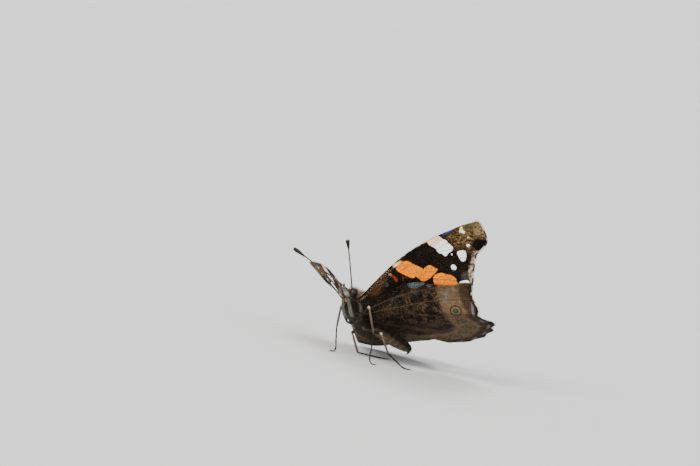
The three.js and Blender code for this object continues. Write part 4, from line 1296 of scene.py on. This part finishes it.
def limb_skin(limb, path):
    """A limb as a tube with rounded ends; the foot's has five swollen joints."""
    reach = np.linspace(0, 1, LEG_RINGS)
    ends = np.minimum(np.minimum(reach, 1 - reach) * path_length(path) / 0.22, 1)
    radius = np.interp(reach, LEG_STATIONS, LIMBS[limb][0]) * np.sqrt(np.clip(1 - (1 - ends) ** 2, 0.02, 1))
    if limb == "tarsus":
        radius = radius * (0.78 + 0.30 * np.sin(math.pi * np.mod(reach * 5, 1)) ** 0.6)
    points, faces, fields = tube(path, radius, 18)
    fields["coat"] = leg_colour(limb, fields["share"])
    return points, faces, fields


def limb_coat(limb, path, skin, order):
    """Roots, normals, lies, lengths, colours and map places of a limb's tufts, short near open joints."""
    _, amount, scale = LIMBS[limb]
    roots, normals, lie, at = strand_roots(path, skin, amount, 0.12)
    near = np.minimum(at["share"], 1 - at["share"]) if limb == "coxa" else at["share"]
    if limb in ("coxa", "femur"):
        scale = scale * np.clip((near * path_length(path) - 0.2) / 0.6, 0.05, 1)
    lengths = RNG.uniform(0.20, 0.36, amount) * scale
    tint = leg_colour(limb, at["share"]) * spread(amount, 0.55)
    return roots, normals, lie, lengths, tint, map_spots(at) * [0.24, 1] + [0.25 * order, 0]


def leg_spines(knee, ankle, toe, heel):
    """Short spurs down the tibia and a pair of claws at the foot."""
    parts = []
    along = unit(ankle - knee)
    aside = unit(np.cross(along, np.array([0.3, 0.2, 1.0])))
    other = np.cross(along, aside)
    for i in range(SPURS):
        out = math.cos(2.4 * i) * aside + math.sin(2.4 * i) * other
        root = knee + (ankle - knee) * (0.18 + 0.07 * i) + out * 0.15
        tip = root + unit(out * 0.7 + along) * 0.34
        parts.append(tube(np.linspace(root, tip, 6), np.linspace(0.035, 0.004, 6), 6))
    forward = unit(toe - heel)
    up = BODY_TURN.T @ np.array([0, 0, 1.0])
    across = unit(np.cross(forward, up))
    for k in (-1, 1):
        bow = toe + forward * 0.16 + across * 0.10 * k + up * 0.02
        path = smooth_path([toe - forward * 0.05, bow, toe + forward * 0.27 + across * 0.14 * k - up * 0.11], 14)
        parts.append(tube(path, np.linspace(0.05, 0.006, 14), 8))
    return join_arrays(parts)


def build_legs():
    skin, fur = skin_material("leg_skin", 5200.0, 0.45, 0.5), coat_material("leg_scales", 0.6)
    horn = skin_material("horn", 7000.0, 0.2, 0.35)
    for name in LEGS:
        hip, coxa, knee, ankle, heel, toe = leg_points(name)
        joints = {
            "coxa": (hip + (hip - coxa) * 0.25, coxa), "femur": (coxa, knee), "tibia": (knee, ankle),
            "tarsus": (ankle, heel, toe),
        }
        skins, coats = [], []
        for order, limb in enumerate(LIMBS):
            path = limb_path(limb, joints[limb])
            skins.append(limb_skin(limb, path))
            coats.append(limb_coat(limb, path, skins[-1], order))
        points, faces, fields = join_arrays(skins)
        new_piece(f"{name}_skin", points, faces, "leg", [skin], [name], fields)
        roots, normals, lie, lengths, tint, spots = (np.concatenate(part) for part in zip(*coats))
        tufts(f"coat_{name}", roots, normals, lie, lengths, lengths * 0.26, "leg", (0.14, 0.03),
              {"coat": tint}, spots, fur)
        points, faces, fields = leg_spines(knee, ankle, toe, heel)
        fields["coat"] = np.tile([0.045, 0.030, 0.020], (len(points), 1))
        new_piece(f"{name}_spines", points, faces, "leg", [horn], [], fields)


# Wings with their fringe and the hair at their roots

FRINGE_INSET = 0.35
FRINGE_STEP = 0.075
FRINGE_PALE = np.array([0.60, 0.57, 0.50])
FRINGE_DARK = np.array([0.035, 0.026, 0.020])
WING_HAIRS = 1500
HAIR_BROWN = np.array([0.115, 0.075, 0.042])
MAP_SPAN = 44.0
MAP_SHIFT = np.array([0.15, 0.52])


def loop_tangents(loop):
    return unit(np.roll(loop, -1, axis=0) - np.roll(loop, 1, axis=0))


def inset_outer_margin(control, outer, inset):
    """Pull a stretch of the outline inward to leave room for the fringe."""
    loop = smooth_path(control, 700, closed=True)[:-1]
    tangent = loop_tangents(loop)
    inward = np.stack([tangent[:, 1], -tangent[:, 0]], 1)
    near = np.clip(1.5 - line_distance(loop, outer) / 0.4, 0, 1)[:, None]
    return loop + inward * inset * near


def stand(plan, outward, lift, surface):
    """Roots, upper normals and lies of hairs that point a given way in the wing's plan."""
    u, v = plan.T
    ends = (plan + outward).T
    roots = surface(u, v, lift + 0 * u)
    return roots, unit(surface(u, v, 1 + 0 * u) - roots), unit(surface(*ends, 0 * u) - roots)


def fringe(outline, outer, surface, vein_ends, check):
    """Plan, roots, normals, lies, lengths, widths and colours of the hairs along the outer margin."""
    loop = smooth_path(outline, int(path_length(outline) / FRINGE_STEP), closed=True)[:-1]
    tangent = loop_tangents(loop)
    outward = np.stack([-tangent[:, 1], tangent[:, 0]], 1)
    keep = line_distance(loop, outer) < FRINGE_INSET + 0.25
    loop, outward = loop[keep], outward[keep]
    loop = np.concatenate([loop, loop + outward * -0.05])
    outward = np.concatenate([outward, outward])
    roots, normals, lies = stand(loop, outward, 0, surface)
    count = len(loop)
    lies = lies + RNG.normal(0, 0.06, (count, 3))
    pale = (vein_checks(loop, vein_ends, check) < -0.15)[:, None]
    tint = np.where(pale, FRINGE_PALE, FRINGE_DARK) * spread(count, 0.75, 1.2)
    return loop, roots, normals, lies, RNG.uniform(0.34, 0.46, count), RNG.uniform(0.11, 0.16, count), tint


def wing_hair(points, faces, margin, surface):
    """The same for the long hair over the base of the upper side."""
    corners = points[faces]
    centre = corners.mean(axis=1)
    away = np.linalg.norm(centre - np.array([0.5, -0.5]), axis=1)
    area = np.abs(np.cross(corners[:, 1] - corners[:, 0], corners[:, 2] - corners[:, 0]))
    weight = area * np.exp(-away / 3.0) * (margin[faces].min(axis=1) > 1.1)
    plan = centre[RNG.choice(len(faces), WING_HAIRS, p=weight / weight.sum())]
    outward = unit(plan - np.array([-2.0, 0.0])) + RNG.normal(0, 0.10, (WING_HAIRS, 2))
    roots, normals, lies = stand(plan, outward * 0.5, 0.03, surface)
    tint = HAIR_BROWN * spread(WING_HAIRS, 0.5, 1.6)
    lengths, widths = RNG.uniform(0.6, 1.2, WING_HAIRS), RNG.uniform(0.05, 0.09, WING_HAIRS)
    return plan, roots, normals, lies, lengths, widths, tint


def build_wings():
    fore_control, fore_start = fore_outline()
    hind_control, hind_start = hind_outline()
    fore_margin = smooth_path(fore_control[fore_start - 1:fore_start + FORE_TERMEN], 260)
    hind_margin = smooth_path(hind_control[hind_start:len(hind_control) - len(HIND_INNER)], 260)
    fore_plan = wing_plan(inset_outer_margin(fore_control, fore_margin, FRINGE_INSET), FORE_VEINS)
    hind_plan = wing_plan(inset_outer_margin(hind_control, hind_margin, FRINGE_INSET), HIND_VEINS)
    fore_materials = [fore_upper_material(), fore_under_material()]
    hind_materials = [hind_upper_material(), hind_under_material()]
    hair_material = coat_material("wing_hair", 0.6)
    kinds = [
        ("forewing", fore_plan, fore_fields(fore_plan), fore_materials, fore_margin, FORE_VEIN_ENDS, FORE_CHECK),
        ("hindwing", hind_plan, hind_fields(hind_plan), hind_materials, hind_margin, hind_vein_ends(), HIND_CHECK),
    ]
    for kind, plan, fields, materials, margin, vein_ends, check in kinds:
        for side_name in SIDES:
            shape = fore_shape if kind == "forewing" else hind_shape(FOLD[side_name])
            to_wing = wing_to_body(side_name)
            build_wing(f"{kind}_skin_{side_name}", plan, fields, shape, side_name, kind, materials)

            def surface(u, v, w):
                return to_wing(*shape(u, v, w))

            margin_hairs = fringe(plan[3], margin, surface, vein_ends, check)
            root_hairs = wing_hair(*plan[:2], fields["margin"], surface)
            at, roots, normals, lies, lengths, widths, tint = (
                np.concatenate(pair) for pair in zip(margin_hairs, root_hairs))
            tufts(f"coat_{kind}_{side_name}", roots, normals, lies, lengths, widths, kind, (0.06, 0.02),
                  {"coat": tint}, at / MAP_SPAN + MAP_SHIFT, hair_material)


# Floor, light and camera

FLOOR_RADIUS = 12.0


def build_stage():
    s = Shader("pale_floor")
    place = s.place()
    cloud = s.noise(place, 6.0, 3.0)
    colour = s.mix(cloud, (0.62, 0.62, 0.61), (0.67, 0.67, 0.66))
    material = s.finish(colour, 0.85, s.bump(s.noise(place, 900.0, 2.0), 0.05, 0.0001))
    bpy.ops.mesh.primitive_circle_add(vertices=96, radius=FLOOR_RADIUS, fill_type="NGON", location=(0, 0, 0))
    floor = bpy.context.active_object
    floor.name = "floor"
    floor.data.materials.append(material)


def sun_light(name, direction, strength, angle, colour=(1, 1, 1)):
    light = bpy.data.lights.new(name, "SUN")
    light.energy = strength
    light.angle = math.radians(angle)
    light.color = colour
    lamp = bpy.data.objects.new(name, light)
    bpy.context.collection.objects.link(lamp)
    lamp.rotation_euler = Vector(direction).to_track_quat("Z", "Y").to_euler()


def build_light_and_camera():
    world = bpy.data.worlds.new("studio")
    bpy.context.scene.world = world
    world.use_nodes = True
    world.node_tree.nodes["Background"].inputs["Color"].default_value = (0.93, 0.95, 1.0, 1.0)
    world.node_tree.nodes["Background"].inputs["Strength"].default_value = 0.7
    right, up, back = (BODY_TURN @ axis for axis in (VIEW_RIGHT, VIEW_UP, VIEW_BACK))
    centre = (BODY_POSITION + VIEW_OFFSET[0] * right + VIEW_OFFSET[1] * up) * MM
    sun_light("key", 1.0 * back + 0.75 * up - 0.45 * right, 5.0, 25, (1.0, 0.98, 0.94))
    sun_light("fill", 0.9 * back + 0.35 * up + 0.7 * right, 1.1, 60, (0.94, 0.97, 1.0))
    sun_light("rim", -0.7 * back + 0.9 * up + 0.2 * right, 2.0, 30)
    camera = bpy.data.cameras.new("camera")
    camera.sensor_width = SENSOR
    camera.lens = SENSOR * VIEW_DISTANCE / VIEW_WIDTH
    camera.clip_start, camera.clip_end = 0.05, 40.0
    holder = bpy.data.objects.new("camera", camera)
    bpy.context.collection.objects.link(holder)
    place = np.eye(4)
    place[:3, 0], place[:3, 1], place[:3, 2] = right, up, back
    place[:3, 3] = centre + back * VIEW_DISTANCE * MM
    holder.matrix_world = Matrix(place.tolist())
    bpy.context.scene.camera = holder


def main():
    build_trunk()
    build_eyes()
    build_feelers()
    build_palps()
    build_tongue()
    build_brush_legs()
    build_legs()
    build_wings()
    build_stage()
    build_light_and_camera()


main()
